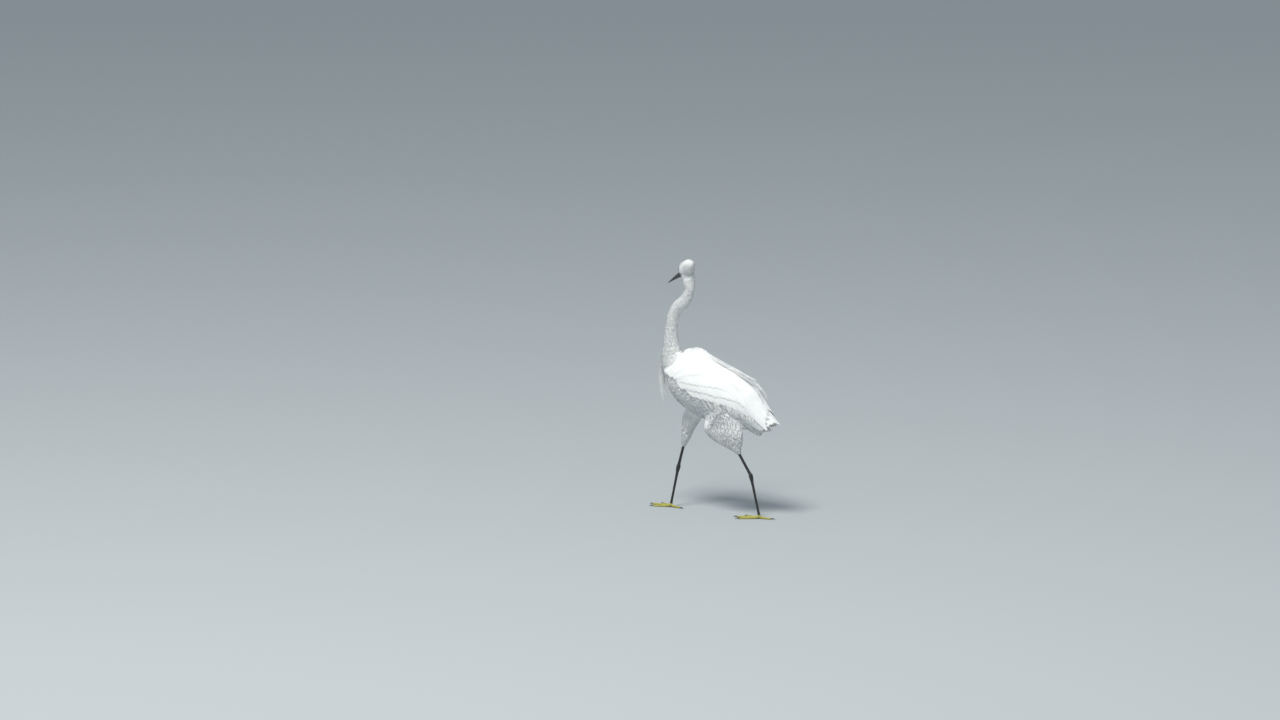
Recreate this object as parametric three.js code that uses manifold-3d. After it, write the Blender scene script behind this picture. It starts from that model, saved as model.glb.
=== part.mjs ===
// Little egret, walking, life size, in millimetres. +Z is up, the bird faces -Y, its left side is +X,
// and the floor under its toes is z = 0. The neck is raised in its S, and the head looks to the right.
import * as THREE from "three";
import { mergeVertices } from "three/addons/utils/BufferGeometryUtils.js";
import Module from "manifold-3d";

const wasm = await Module();
wasm.setup();

// Driving dimensions
const GAP = 0.3; // between touching pieces
const STANDS_AT = [4, 11, 0]; // brings the middle of the bird's reach over the origin

// Trunk stations, breast to rump: [y, z, half width, height above the axis, depth below it].
const TRUNK = [
  [-108, 328, 12, 14, 14],
  [-98, 323, 29, 58, 36],
  [-76, 313, 41, 71, 55],
  [-45, 301, 46, 68, 66],
  [-5, 287, 46, 61, 70],
  [35, 273, 43, 58, 64],
  [70, 255, 35, 52, 54],
  [88, 241, 27, 38, 40],
  [102, 230, 17, 22, 24],
  [109, 224.5, 7, 9, 10],
];
// Coverts under the tail, given like the trunk.
const VENT = [
  [80, 229, 17, 20, 18],
  [96, 213, 15, 15, 15],
  [108, 200, 10, 9, 10],
  [117, 191, 4, 3, 3],
];
// Sheath of the folded wings, given like the trunk: the surface that their feathers lie on.
const SHEATH = [
  [-102, 325, 27, 38, 32],
  [-91, 320, 38, 56, 46],
  [-72, 312, 45, 71, 60],
  [-42, 300, 49, 70, 68],
  [0, 286, 50, 63, 72],
  [38, 272, 47, 61, 64],
  [74, 256, 41, 56, 54],
  [99, 240, 34, 42, 42],
  [120, 224, 28.5, 33, 31],
  [144, 205, 24, 27, 22],
];
// Neck stations, breast to head: [y, z, half width, half depth before the axis, and behind it].
const NECK = [
  [-84, 314, 30, 32, 32],
  [-103, 335, 27, 30, 41],
  [-112, 361, 20, 24, 29],
  [-113, 385, 16.5, 19.5, 20],
  [-113.5, 408, 14.5, 16.5, 16.5],
  [-111, 432, 13, 15, 15],
  [-105.5, 453, 12.5, 15.5, 14],
  [-94, 471, 12.5, 17, 14],
  [-77, 487, 12, 16, 13.5],
  [-67, 508, 11.5, 12.5, 12],
  [-64, 530, 11.5, 12.5, 12.5],
  [-66, 548, 10, 10, 10],
];
// Back plumes: degrees from the middle of the back where each ends, and how far its tip rises.
const BACK_PLUMES = [
  [-15, 5],
  [-9, 7],
  [-4, 15],
  [3, 9],
  [8, 13],
  [14, 6],
];
// Plumes hanging from the base of the neck: root, middle and tip of each as [x, y, z].
const NECK_PLUMES = [
  [[-7, -122, 352], [-9, -139, 322], [-9, -134, 286]],
  [[-2, -124, 356], [-3, -142, 326], [-3, -138, 284]],
  [[3, -124, 352], [4, -141, 320], [4, -135, 280]],
  [[8, -121, 348], [10, -138, 318], [10, -131, 290]],
  [[-5, -117, 330], [-6, -128, 300], [-6, -118, 266]],
  [[1, -117, 330], [1, -129, 298], [1, -118, 262]],
  [[7, -116, 330], [8, -127, 301], [8, -116, 270]],
];
const PLUME = { root: 2, wide: 3.2, tip: 0.6, thick: 0.8, lift: 6.6, over: 2.2, sunk: -9 };
const NECK_CUTS = [0.3, 0.62]; // shares of the neck's length where its three lengths part

// Head: its middle, its turn to the right and its dip, then stations from the bill back to the nape:
// [back, up, half width, height above the axis, depth below it].
const HEAD = { at: [0, -74, 561.5], turn: 38, dip: 21 };
const SKULL = [
  [-28, -3.5, 6, 7.4, 6.8],
  [-22, -2.5, 8.8, 10.4, 10],
  [-15, -1, 12.6, 14.6, 14.5],
  [-6, 0.5, 16.2, 18, 17.5],
  [5, 1, 17.4, 19, 18.5],
  [16, 0, 15.2, 17, 17],
  [24.5, -2, 9.8, 10.5, 10.5],
  [27.5, -3, 4, 4, 4],
];
const BILL = { from: 24, length: 88, height: 14.5, width: 10.5, up: -3.2, sag: -2.6, gape: 0.4 };
const EYE = { forward: 10.5, side: 10.2, up: 3.2, radius: 5.6, looksAhead: 18 };
const LID = { radius: 4.5, thick: 0.95, out: 4.1 };
// Line of the mouth, running back from the bill.
const MOUTH = { from: 28, length: 17, slant: 27, wide: 0.7, side: 11.2, down: 0.6 };
const NOSTRIL = { forward: 35, up: -0.6, length: 7, slit: 1.1, side: 5, deep: 2.4 };

// Legs: the feathered thigh as level sections [x, y, z, half width, half length], then the heel and
// the toe joint as [x, y, z], and the way the toes point, in degrees towards the bird's left.
const LEGS = {
  left: {
    thigh: [
      [21, 30, 240, 12, 32],
      [25, 33, 217, 18, 46],
      [27, 37, 196, 18, 49],
      [26, 48, 176, 14, 38],
      [25, 63, 161, 9.5, 19],
      [24.5, 72, 152, 6.5, 10],
      [24, 76.5, 146.5, 4.2, 5.5],
    ],
    heel: [20, 104, 99],
    ball: [20, 126, 6.5],
    heading: 4,
  },
  right: {
    thigh: [
      [-18, -56, 240, 12, 24],
      [-21, -68, 216, 15.5, 24.5],
      [-22, -79, 190, 14, 16.5],
      [-21.5, -85.5, 165, 10.5, 11],
      [-21, -90.5, 150, 6.5, 6.5],
      [-21, -92, 144.5, 4.2, 4.4],
    ],
    heel: [-20, -104, 98],
    ball: [-21, -124, 6.5],
    heading: -10,
  },
};
const THIGH_STEPS = 12;
const THIGH_SIDES = 16;
const SHANK = { radius: 3.1, heel: 4.7, tarsus: 2.6 };
// Toes: [name, angle from straight ahead towards the outer side, length, radius at the root].
const TOES = [
  ["inner", -26, 42, 2.5],
  ["middle", 2, 54, 2.7],
  ["outer", 28, 46, 2.5],
  ["hind", 184, 29, 2.5],
];
// A toe's axis as [share of its length, height], its thickness there against the root's, and the
// same for its claw, whose shares run from the toe's end to the claw's point.
const TOE_AXIS = [[0, 5.2], [0.2, 2.6], [0.45, 2.1], [0.75, 1.7], [1, 1.4]];
const TOE_TAPER = [1.15, 1.1, 0.95, 0.85, 0.62];
const CLAW = { length: 10, radius: 1.35, root: 0.96 };
const CLAW_HEIGHTS = [1.6, 1.9, 0.5];
const CLAW_TAPER = [1, 0.75, 0.22];
const PAD = { radius: 4.2, up: 4.4 };

// Wing core: its reach along the sheath, its two faces' distance from it, and its divisions.
const WING = { from: 0.1, to: 0.8, outer: 0, inner: -5, steps: 14, across: 7 };
// Degrees down from the back where the core's upper and lower edges lie, at its front and its end.
const WING_EDGES = { upper: [5, 12], lower: [97, 100] };
// Tiers of wing feathers, each from its lowest feather to its highest. Roots and tips are given on the
// sheath as [share of its length, degrees down from the back]; lift is the tier's distance from it.
const WING_TIERS = [
  { count: 6, roots: [[0.7, 100], [0.7, 56]], tips: [[0.94, 116], [1.01, 44]], lift: -3.1 },
  { count: 9, roots: [[0.22, 84], [0.62, 61]], tips: [[0.4, 106], [0.95, 84]], lift: 0.5 },
  { count: 6, roots: [[0.56, 54], [0.48, 24]], tips: [[0.98, 72], [0.89, 30]], lift: 0.5 },
  { count: 8, roots: [[0.14, 74], [0.46, 52]], tips: [[0.3, 99], [0.68, 80]], lift: 2.7 },
  { count: 5, roots: [[0.2, 38], [0.26, 13]], tips: [[0.54, 44], [0.56, 15]], lift: 2.7 },
  { count: 5, roots: [[0.14, 60], [0.33, 44]], tips: [[0.28, 84], [0.52, 66]], lift: 4.9 },
];
const VANE = {
  thick: 0.55,
  tip: 0.35,
  apart: 0.4, // between neighbours, one over the other
  sunk: -3.2,
  overlap: 1.35, // width against the distance between neighbours
  rise: 7, // length over which a vane leaves the core
  step: 15, // between sections along it
};
// Width of a vane along its length, against its full width.
const vaneWidth = (t) =>
  lerp(0.42, 1, THREE.MathUtils.smoothstep(t, 0, 0.4)) *
  Math.sqrt(1 - 0.92 * Math.max(0, (t - 0.72) / 0.28) ** 2);
// Tail: side is how many feathers lie to each side of the middle one. Each next one is shorter and
// lower. The feathers part by parting, and the whole fans out by fan, each given at root and tip.
const TAIL = {
  root: [78, 258],
  dip: 40.5,
  length: 86,
  shorter: 1.2,
  side: 5,
  width: 7,
  level: 0.9,
  parting: [2.6, 3.6],
  fan: [2, 12],
};
const TAIL_CORE = { to: 0.7, half: [10, 13], high: [6, 2], down: 2, sides: 10 };
const TAIL_SECTIONS = [0, 0.3, 0.6, 0.85, 0.95, 1];

const material = (color, roughness) =>
  new THREE.MeshStandardMaterial({ color, roughness, metalness: 0 });
const PLUMAGE = material(0xf4f5f1, 0.85);
const HORN = material(0x16191b, 0.4);
const LEG_SKIN = material(0x191b1c, 0.55);
const TOE_SKIN = material(0xb3a63c, 0.6);
const EYE_YELLOW = material(0xd9c04a, 0.15);

const degrees = THREE.MathUtils.degToRad;
const lerp = THREE.MathUtils.lerp;

// A closed geometry becomes a solid, turned the right way out.
function solid(geometry) {
  const bare = geometry.clone();
  bare.deleteAttribute("normal");
  bare.deleteAttribute("uv");
  const merged = mergeVertices(bare, 1e-4);
  const build = (triangles) =>
    new wasm.Manifold(
      new wasm.Mesh({
        numProp: 3,
        vertProperties: merged.attributes.position.array,
        triVerts: triangles,
      }),
    );
  const triangles = new Uint32Array(merged.index.array);
  const made = build(triangles);
  return made.volume() > 0 ? made : build(triangles.reverse());
}

function geometryOf(shape) {
  const mesh = shape.getMesh();
  return new THREE.BufferGeometry()
    .setAttribute("position", new THREE.BufferAttribute(mesh.vertProperties, 3))
    .setIndex(new THREE.BufferAttribute(mesh.triVerts, 1));
}

// A union or a cut can leave scraps: a node keeps its largest closed surface.
function largest(shape) {
  const bodies = shape.decompose();
  return bodies.reduce((best, body) => (body.volume() > best.volume() ? body : best));
}

function join(shapes) {
  return largest(shapes.reduce((whole, shape) => whole.add(shape)));
}

const cut = (shape, others) => others.reduce((rest, other) => rest.subtract(other), shape);

function piece(name, shape, finish) {
  const mesh = new THREE.Mesh(geometryOf(largest(shape)), finish);
  mesh.name = name;
  return mesh;
}

// A closed skin over rings of points that run alike round the shape.
function loft(rings) {
  const count = rings[0].length;
  const points = rings.flat();
  const faces = [];
  for (let r = 0; r + 1 < rings.length; r++) {
    for (let i = 0; i < count; i++) {
      const a = r * count + i;
      const b = r * count + ((i + 1) % count);
      faces.push(a, b, a + count, b, b + count, a + count);
    }
  }
  for (const [ring, first] of [[rings[0], 0], [rings.at(-1), (rings.length - 1) * count]]) {
    const hub = ring.reduce((sum, p) => sum.add(p), new THREE.Vector3()).divideScalar(count);
    points.push(hub);
    for (let i = 0; i < count; i++) {
      const edge = [first + i, first + ((i + 1) % count)];
      faces.push(...(first ? edge : edge.reverse()), points.length - 1);
    }
  }
  return new THREE.BufferGeometry().setFromPoints(points).setIndex(faces);
}

// A closed slab between two grids of points that match, triangulated alike on both faces.
function slab(top, bottom) {
  const rows = top.length;
  const across = top[0].length;
  const under = rows * across;
  const faces = [];
  const cell = (a, b, c, d) => faces.push(a, b, d, a, d, c);
  for (let r = 0; r + 1 < rows; r++) {
    for (let i = 0; i + 1 < across; i++) {
      const [a, b] = [r * across + i, r * across + i + 1];
      cell(a, b, a + across, b + across);
      faces.push(under + a, under + b + across, under + b);
      faces.push(under + a, under + a + across, under + b + across);
    }
  }
  const rim = [];
  for (let i = 0; i < across; i++) rim.push(i);
  for (let r = 1; r < rows; r++) rim.push(r * across + across - 1);
  for (let i = across - 2; i >= 0; i--) rim.push((rows - 1) * across + i);
  for (let r = rows - 2; r > 0; r--) rim.push(r * across);
  rim.forEach((a, k) => {
    const b = rim[(k + 1) % rim.length];
    cell(b, a, under + b, under + a);
  });
  return new THREE.BufferGeometry().setFromPoints([...top.flat(), ...bottom.flat()]).setIndex(faces);
}

const curve = (points) => new THREE.CatmullRomCurve3(points, false, "catmullrom", 0.5);

// A run of stations [a, b, half width, size above, size below] as two smooth curves.
function stations(rows, place) {
  const path = curve(rows.map(place));
  const sizes = curve(rows.map((row) => new THREE.Vector3(row[2], row[3], row[4])));
  return { path, sizes };
}
const inSagittalPlane = (row) => new THREE.Vector3(0, row[0], row[1]);

// The point of a run of stations at share s of its length, at an angle from its upper side
// towards +X, raised off the surface by lift.
function onSurface(run, s, angle, lift = 0) {
  const along = THREE.MathUtils.clamp(s, 0, 1);
  const centre = run.path.getPoint(along);
  const size = run.sizes.getPoint(along);
  const tangent = run.path.getTangent(along);
  const upper = new THREE.Vector3(1, 0, 0).cross(tangent);
  const high = (Math.cos(angle) > 0 ? size.y : size.z) + lift;
  return centre
    .addScaledVector(new THREE.Vector3(1, 0, 0), (size.x + lift) * Math.sin(angle))
    .addScaledVector(upper, high * Math.cos(angle))
    .addScaledVector(tangent, (s - along) * run.path.getLength());
}

function tube(run, { steps, sides, grow = 0, from = 0, to = 1 }) {
  const rings = [];
  for (let r = 0; r <= steps; r++) {
    const s = lerp(from, to, r / steps);
    const ring = [];
    for (let i = 0; i < sides; i++) {
      ring.push(onSurface(run, s, (2 * Math.PI * i) / sides, grow));
    }
    rings.push(ring);
  }
  return solid(loft(rings));
}

// A limb through points, with half widths [across, along] at each, round in section.
function limb(points, widths, { steps = 8, sides = 10, grow = 0 } = {}) {
  const path = curve(points.map((p) => new THREE.Vector3(...p)));
  const sizes = curve(widths.map(([across, along]) => new THREE.Vector3(across, along, along)));
  return tube({ path, sizes }, { steps, sides, grow });
}

const trunkRun = stations(TRUNK, inSagittalPlane);
const sheathRun = stations(SHEATH, inSagittalPlane);
const neckRun = stations(NECK, inSagittalPlane);
const ventRun = stations(VENT, inSagittalPlane);
const skullRun = stations(SKULL, inSagittalPlane);

// Trunk, with room round it for what touches it.
const trunkShape = (grow) =>
  join([
    tube(trunkRun, { steps: 18, sides: 20, grow }),
    tube(ventRun, { steps: 5, sides: 12, grow }),
  ]);

// A plume: a flat lock that tapers along its bend.
function plume(points, widths = [PLUME.root, PLUME.wide, PLUME.wide * 0.8, PLUME.tip]) {
  const thin = widths.map((w, i) => [w, i + 1 < widths.length ? PLUME.thick : PLUME.thick * 0.5]);
  return limb(points, thin, { steps: 7, sides: 4 });
}

// Plumes of the back, rooted between the wings and lying over them.
function backPlumes() {
  return BACK_PLUMES.map(([angle, rise], i) => {
    const above = PLUME.lift + (i % 2) * PLUME.over;
    const at = (s, share, lift) => onSurface(sheathRun, s, degrees(angle * share), lift).toArray();
    return plume([
      at(0.28, 0.05, PLUME.sunk),
      at(0.4, 0.3, above - 1),
      at(0.56, 0.8, above),
      at(0.67 + (i % 3) * 0.02, 1, above + rise * 0.5),
    ]);
  });
}

// Plumes that hang from the neck, bending near the middle point.
function neckPlumes() {
  return NECK_PLUMES.map(([root, middle, tip]) => {
    const bend = middle.map((v, i) => lerp(v, root[i], 0.3));
    return plume([root, bend, middle, tip]);
  });
}

// Neck, parted into three lengths by thin cuts square to its line.
function neckLengths(room) {
  const whole = cut(tube(neckRun, { steps: 30, sides: 14 }), room);
  const cutters = NECK_CUTS.map((share) => {
    const slab = new THREE.BoxGeometry(80, 80, GAP);
    const facing = new THREE.Quaternion().setFromUnitVectors(
      new THREE.Vector3(0, 0, 1),
      neckRun.path.getTangent(share),
    );
    slab.applyQuaternion(facing).translate(...neckRun.path.getPoint(share).toArray());
    return solid(slab);
  });
  const parts = cutters
    .reduce((rest, slab) => rest.subtract(slab), whole)
    .decompose()
    .filter((body) => body.volume() > 1000);
  return parts.sort((a, b) => a.boundingBox().min[2] - b.boundingBox().min[2]);
}

// Head, in its own frame: forward is -Y, up is +Z.
const eyeAt = (side) => [side * EYE.side, -EYE.forward, EYE.up];

function ball(radius, at, sides = 12) {
  return solid(new THREE.SphereGeometry(radius, sides, (sides * 3) / 4 - 1).translate(...at));
}

function billSection(t, level) {
  const share = 1 - t;
  const taper = 0.09 + 0.91 * Math.pow(share, 0.92);
  const half = { high: (BILL.height / 2) * taper, wide: (BILL.width / 2) * taper };
  const y = -(BILL.from + BILL.length * t);
  const middle = BILL.up + BILL.sag * t * t;
  const ring = [];
  const sides = 8;
  for (let i = 0; i <= sides; i++) {
    const angle = (Math.PI * i) / sides;
    const z = middle + level * (BILL.gape / 2 + half.high * Math.sin(angle));
    ring.push(new THREE.Vector3(level * half.wide * Math.cos(angle), y, z));
  }
  return ring;
}

function mandible(level) {
  const rings = [];
  const steps = 12;
  for (let r = 0; r <= steps; r++) rings.push(billSection(r / steps, level));
  return solid(loft(rings));
}

// Ring of skin round the eye.
function lid(side) {
  const ahead = degrees(EYE.looksAhead);
  const facing = new THREE.Vector3(side * Math.cos(ahead), -Math.sin(ahead), 0);
  const ring = new THREE.TorusGeometry(LID.radius, LID.thick, 4, 12);
  ring.applyQuaternion(new THREE.Quaternion().setFromUnitVectors(new THREE.Vector3(0, 0, 1), facing));
  const at = facing.multiplyScalar(LID.out).add(new THREE.Vector3(...eyeAt(side)));
  return solid(ring.translate(at.x, at.y, at.z));
}

// Groove that carries the gape back below the eye.
function mouthLine(side) {
  const groove = new THREE.BoxGeometry(4, MOUTH.length, MOUTH.wide);
  groove.rotateZ(side * degrees(MOUTH.slant));
  const middle = -(MOUTH.from - MOUTH.length / 2);
  return solid(groove.translate(side * MOUTH.side, middle, BILL.up - MOUTH.down));
}

function nostril(side) {
  const slit = new THREE.BoxGeometry(NOSTRIL.deep, NOSTRIL.length, NOSTRIL.slit);
  return solid(slit.translate(side * NOSTRIL.side, -NOSTRIL.forward, NOSTRIL.up));
}

const skullShape = (grow) => tube(skullRun, { steps: 14, sides: 16, grow });

function headPieces() {
  const bill = { bill_upper: mandible(1), bill_lower: mandible(-1) };
  const eyes = { eye_left: ball(EYE.radius, eyeAt(1)), eye_right: ball(EYE.radius, eyeAt(-1)) };
  let head = join([skullShape(0), lid(1), lid(-1)]);
  for (const side of [1, -1]) {
    head = cut(head, [ball(EYE.radius + GAP, eyeAt(side)), mouthLine(side)]);
    bill.bill_upper = bill.bill_upper.subtract(nostril(side));
  }
  const grown = skullShape(GAP);
  return {
    head: [head, PLUMAGE],
    bill_upper: [bill.bill_upper.subtract(grown), HORN],
    bill_lower: [bill.bill_lower.subtract(grown), HORN],
    eye_left: [eyes.eye_left, EYE_YELLOW],
    eye_right: [eyes.eye_right, EYE_YELLOW],
  };
}

// Core of a folded wing: a shell over the flank. Grown, it makes room in what lies under it.
function wingCore(side, grow) {
  const grid = (lift) => {
    const rows = [];
    for (let r = 0; r <= WING.steps; r++) {
      const share = r / WING.steps;
      const longer = grow / sheathRun.path.getLength();
      const s = lerp(WING.from - longer, WING.to + longer, share);
      const high = lerp(...WING_EDGES.upper, s) - grow * 2;
      const low = lerp(...WING_EDGES.lower, Math.min(1, s * 2)) + grow * 2;
      const row = [];
      for (let i = 0; i <= WING.across; i++) {
        row.push(onSurface(sheathRun, s, side * degrees(lerp(high, low, i / WING.across)), lift));
      }
      rows.push(row);
    }
    return rows;
  };
  return solid(slab(grid(WING.outer + grow), grid(WING.inner - grow)));
}

// Shares of a vane's length where its sections lie.
function sections(length) {
  const body = Math.max(2, Math.round((length - VANE.rise) / VANE.step));
  const rise = VANE.rise / length;
  const shares = [0];
  for (let i = 0; i <= body; i++) shares.push(lerp(rise, 0.93, i / body));
  return [...shares, 1];
}

// A run of neighbouring vanes on the sheath. The lower edge of each stands higher than its upper
// edge, so that it lies over the next one's.
function tierVanes(run, side, { count, roots, tips, lift }) {
  const between = ([first, last], k) => first.map((v, i) => lerp(v, last[i], k));
  const length = run.path.getLength();
  const radius = run.sizes.getPoint(between(roots, 0.5)[0]).x;
  const inMm = (from, to) => [(to[0] - from[0]) * length, degrees(to[1] - from[1]) * radius];
  const line = inMm(between(roots, 0.5), between(tips, 0.5));
  const row = inMm(between([roots[0], tips[0]], 0.6), between([roots[1], tips[1]], 0.6));
  const pitch = Math.abs(line[0] * row[1] - line[1] * row[0]) / Math.hypot(...line) / (count - 1);
  const width = pitch * VANE.overlap;
  const tilt = (VANE.thick + VANE.apart) * VANE.overlap;
  const vane = (root, tip) => {
    const reach = inMm(root, tip);
    const size = Math.hypot(...reach);
    const grid = (top) =>
      sections(size).map((t) => {
        const base = lerp(VANE.sunk, lift, Math.min(1, (t * size) / VANE.rise));
        const thick = t === 1 ? VANE.tip : VANE.thick;
        return [-0.5, 0.5].map((edge) => {
          const across = edge * vaneWidth(t);
          const s = lerp(root[0], tip[0], t) - (across * width * reach[1]) / size / length;
          const angle =
            degrees(lerp(root[1], tip[1], t)) + (across * width * reach[0]) / size / radius;
          return onSurface(run, s, side * angle, base + tilt * (across + 0.5) + top * thick);
        });
      });
    return solid(slab(grid(1), grid(0)));
  };
  const vanes = [];
  for (let i = 0; i < count; i++) {
    const k = i / (count - 1);
    vanes.push(vane(between(roots, k), between(tips, k)));
  }
  return vanes;
}

function wingShape(side, room) {
  const vanes = WING_TIERS.flatMap((tier) => tierVanes(sheathRun, side, tier));
  return join([wingCore(side, 0), ...vanes]).subtract(room);
}

// Tail: vanes in flat layers, the middle one on top and the outer ones lower, on a short core.
function tailShape(room) {
  const dip = degrees(TAIL.dip);
  const along = new THREE.Vector3(0, Math.cos(dip), -Math.sin(dip));
  const up = new THREE.Vector3(0, Math.sin(dip), Math.cos(dip));
  const at = (x, length, level) =>
    new THREE.Vector3(x, ...TAIL.root).addScaledVector(along, length).addScaledVector(up, level);
  const layer = (k) => {
    const side = Math.sign(k);
    const rank = Math.abs(k);
    const length = TAIL.length - rank * TAIL.shorter;
    const grid = (thick) =>
      TAIL_SECTIONS.map((t) =>
        [-0.5, 0.5].map((across) => {
          const out = lerp(...TAIL.parting, t) + (rank / TAIL.side) * lerp(...TAIL.fan, t);
          const x = side * out + across * TAIL.width * vaneWidth(t);
          return at(x, length * t, -rank * TAIL.level + thick);
        }),
      );
    return solid(slab(grid(VANE.thick), grid(0)));
  };
  const coreRing = (share) => {
    const t = share * TAIL_CORE.to;
    const ring = [];
    for (let i = 0; i < TAIL_CORE.sides; i++) {
      const angle = (2 * Math.PI * i) / TAIL_CORE.sides;
      const level = lerp(...TAIL_CORE.high, t) * Math.cos(angle) - TAIL_CORE.down;
      ring.push(at(lerp(...TAIL_CORE.half, t) * Math.sin(angle), TAIL.length * t, level));
    }
    return ring;
  };
  const layers = [];
  for (let k = -TAIL.side; k <= TAIL.side; k++) layers.push(layer(k));
  const core = solid(loft([0, 0.5, 1].map(coreRing)));
  return cut(join([core, ...layers]), room);
}

// Everything below the floor is cut away, which leaves small flats under the toes.
const underFloor = solid(new THREE.BoxGeometry(600, 600, 40).translate(0, 0, -20));

function toe([, angle, length, radius], ballJoint, heading, side) {
  const turn = degrees(heading + side * angle);
  const ahead = [Math.sin(turn), -Math.cos(turn)];
  const at = (share, z) => [
    ballJoint[0] + ahead[0] * length * share,
    ballJoint[1] + ahead[1] * length * share,
    z,
  ];
  const round = (full, taper) => taper.map((k) => [full * k, full * k]);
  const points = TOE_AXIS.map(([share, z]) => at(share, z));
  const reach = CLAW.length / length;
  const clawShares = [CLAW.root, 1 + 0.5 * reach, 1 + reach];
  const clawPoints = clawShares.map((share, i) => at(share, CLAW_HEIGHTS[i]));
  const claw = limb(clawPoints, round(CLAW.radius, CLAW_TAPER), { steps: 3, sides: 6 });
  const shape = (grow) => limb(points, round(radius, TOE_TAPER), { steps: 5, sides: 6, grow });
  return { toe: shape(0), room: shape(GAP), claw: claw.subtract(shape(GAP)) };
}

// Feathered thigh: a stack of level sections.
function thighShape(rows, grow) {
  const path = curve(rows.map(([x, y, z]) => new THREE.Vector3(x, y, z)));
  const sizes = curve(rows.map((row) => new THREE.Vector3(row[3], row[4], 0)));
  const rings = [];
  for (let r = 0; r <= THIGH_STEPS; r++) {
    const centre = path.getPoint(r / THIGH_STEPS);
    const size = sizes.getPoint(r / THIGH_STEPS);
    const ring = [];
    for (let i = 0; i < THIGH_SIDES; i++) {
      const angle = (2 * Math.PI * i) / THIGH_SIDES;
      const x = (size.x + grow) * Math.sin(angle);
      const y = (size.y + grow) * Math.cos(angle);
      ring.push(centre.clone().add(new THREE.Vector3(x, y, r === THIGH_STEPS ? -grow : 0)));
    }
    rings.push(ring);
  }
  return solid(loft(rings));
}

function leg(name, { thigh, heel, ball: joint, heading }, room) {
  const side = name === "left" ? 1 : -1;
  const bare = thigh.at(-1).slice(0, 3);
  const inside = bare.map((v, i) => v + (v - heel[i]) * 0.1);
  const round = (radii) => radii.map((r) => [r, r]);
  const shank = limb(
    [inside, bare, heel.map((v, i) => lerp(v, bare[i], 0.3)), heel],
    round([SHANK.radius, SHANK.radius, SHANK.radius * 1.05, SHANK.radius * 1.25]),
    { steps: 6, sides: 8 },
  );
  const downTo = (share) => heel.map((v, i) => lerp(v, joint[i], share));
  const tarsus = limb(
    [heel, downTo(0.15), downTo(0.8), joint],
    round([SHANK.heel * 0.8, SHANK.tarsus * 1.15, SHANK.tarsus, SHANK.tarsus * 1.2]),
    { steps: 6, sides: 8 },
  );
  const heelBall = (grow) => ball(SHANK.heel + grow, heel, 8);
  const toes = TOES.map((row) => toe(row, joint, heading, side));
  const pad = (grow) => ball(PAD.radius + grow, [joint[0], joint[1], PAD.up], 8);
  const foot = join([pad(0), ...toes.map((t) => t.toe)]).subtract(underFloor);
  const footRoom = [pad(GAP), ...toes.map((t) => t.room)];
  const made = {
    [`thigh_${name}`]: [cut(thighShape(thigh, 0), room), PLUMAGE],
    [`shank_${name}`]: [cut(shank, [thighShape(thigh, GAP), heelBall(GAP)]), LEG_SKIN],
    [`tarsus_${name}`]: [cut(join([heelBall(0), tarsus]), footRoom), LEG_SKIN],
    [`foot_${name}`]: [foot, TOE_SKIN],
  };
  toes.forEach((t, i) => {
    made[`claw_${name}_${TOES[i][0]}`] = [t.claw.subtract(underFloor), HORN];
  });
  return made;
}

const egret = new THREE.Group();
egret.position.set(...STANDS_AT);

const headGroup = new THREE.Group();
headGroup.position.set(...HEAD.at);
headGroup.rotation.set(degrees(HEAD.dip), 0, degrees(-HEAD.turn), "ZXY");
headGroup.updateMatrix();
for (const [name, [shape, finish]] of Object.entries(headPieces())) {
  headGroup.add(piece(name, shape, finish));
}
egret.add(headGroup);

const trunkRoom = trunkShape(GAP);
const skullRoom = skullShape(GAP).transform(headGroup.matrix.elements);
const bodyRoom = [trunkRoom, wingCore(1, GAP), wingCore(-1, GAP)];
const torso = join([trunkShape(0), ...backPlumes()]);
egret.add(piece("torso", torso, PLUMAGE));
neckLengths([...bodyRoom, skullRoom]).forEach((shape, i) => {
  const whole = i ? shape : join([shape, ...neckPlumes()]);
  egret.add(piece(["neck_lower", "neck_middle", "neck_upper"][i], whole, PLUMAGE));
});
for (const side of ["left", "right"]) {
  const wing = wingShape(side === "left" ? 1 : -1, trunkRoom);
  egret.add(piece(`wing_${side}`, wing, PLUMAGE));
  for (const [name, [shape, finish]] of Object.entries(leg(side, LEGS[side], bodyRoom))) {
    egret.add(piece(name, shape, finish));
  }
}
egret.add(piece("tail", tailShape(bodyRoom), PLUMAGE));

export default egret;
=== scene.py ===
# %% [markdown]
# A little egret, life size, caught in mid stride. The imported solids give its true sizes, and this lesson
# dresses them in skin, feathers, horn and scales. The bird faces -Y, its left side is +X and the floor
# under its toes is z = 0. Blender works in metres, and the tables here are in millimetres.

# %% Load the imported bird
import math

import bpy
import numpy as np
from mathutils import Matrix, Vector
from mathutils.bvhtree import BVHTree


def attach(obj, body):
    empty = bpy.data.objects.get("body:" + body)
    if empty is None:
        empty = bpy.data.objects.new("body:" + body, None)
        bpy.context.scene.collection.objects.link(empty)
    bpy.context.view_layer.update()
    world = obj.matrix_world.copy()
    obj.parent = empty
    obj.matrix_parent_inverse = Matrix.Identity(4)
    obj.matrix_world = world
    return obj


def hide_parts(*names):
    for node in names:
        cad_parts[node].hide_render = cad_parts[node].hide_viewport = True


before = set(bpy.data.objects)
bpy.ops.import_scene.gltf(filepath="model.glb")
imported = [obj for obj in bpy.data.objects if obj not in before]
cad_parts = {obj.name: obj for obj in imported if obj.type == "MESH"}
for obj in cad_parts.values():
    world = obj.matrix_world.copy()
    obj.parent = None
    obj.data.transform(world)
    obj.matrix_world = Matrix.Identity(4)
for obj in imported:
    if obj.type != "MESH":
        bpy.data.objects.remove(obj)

MM = 0.001
STANDS_AT = np.array([4.0, 11.0, 0.0])  # where the solids place the bird's own frame, in millimetres
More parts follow.
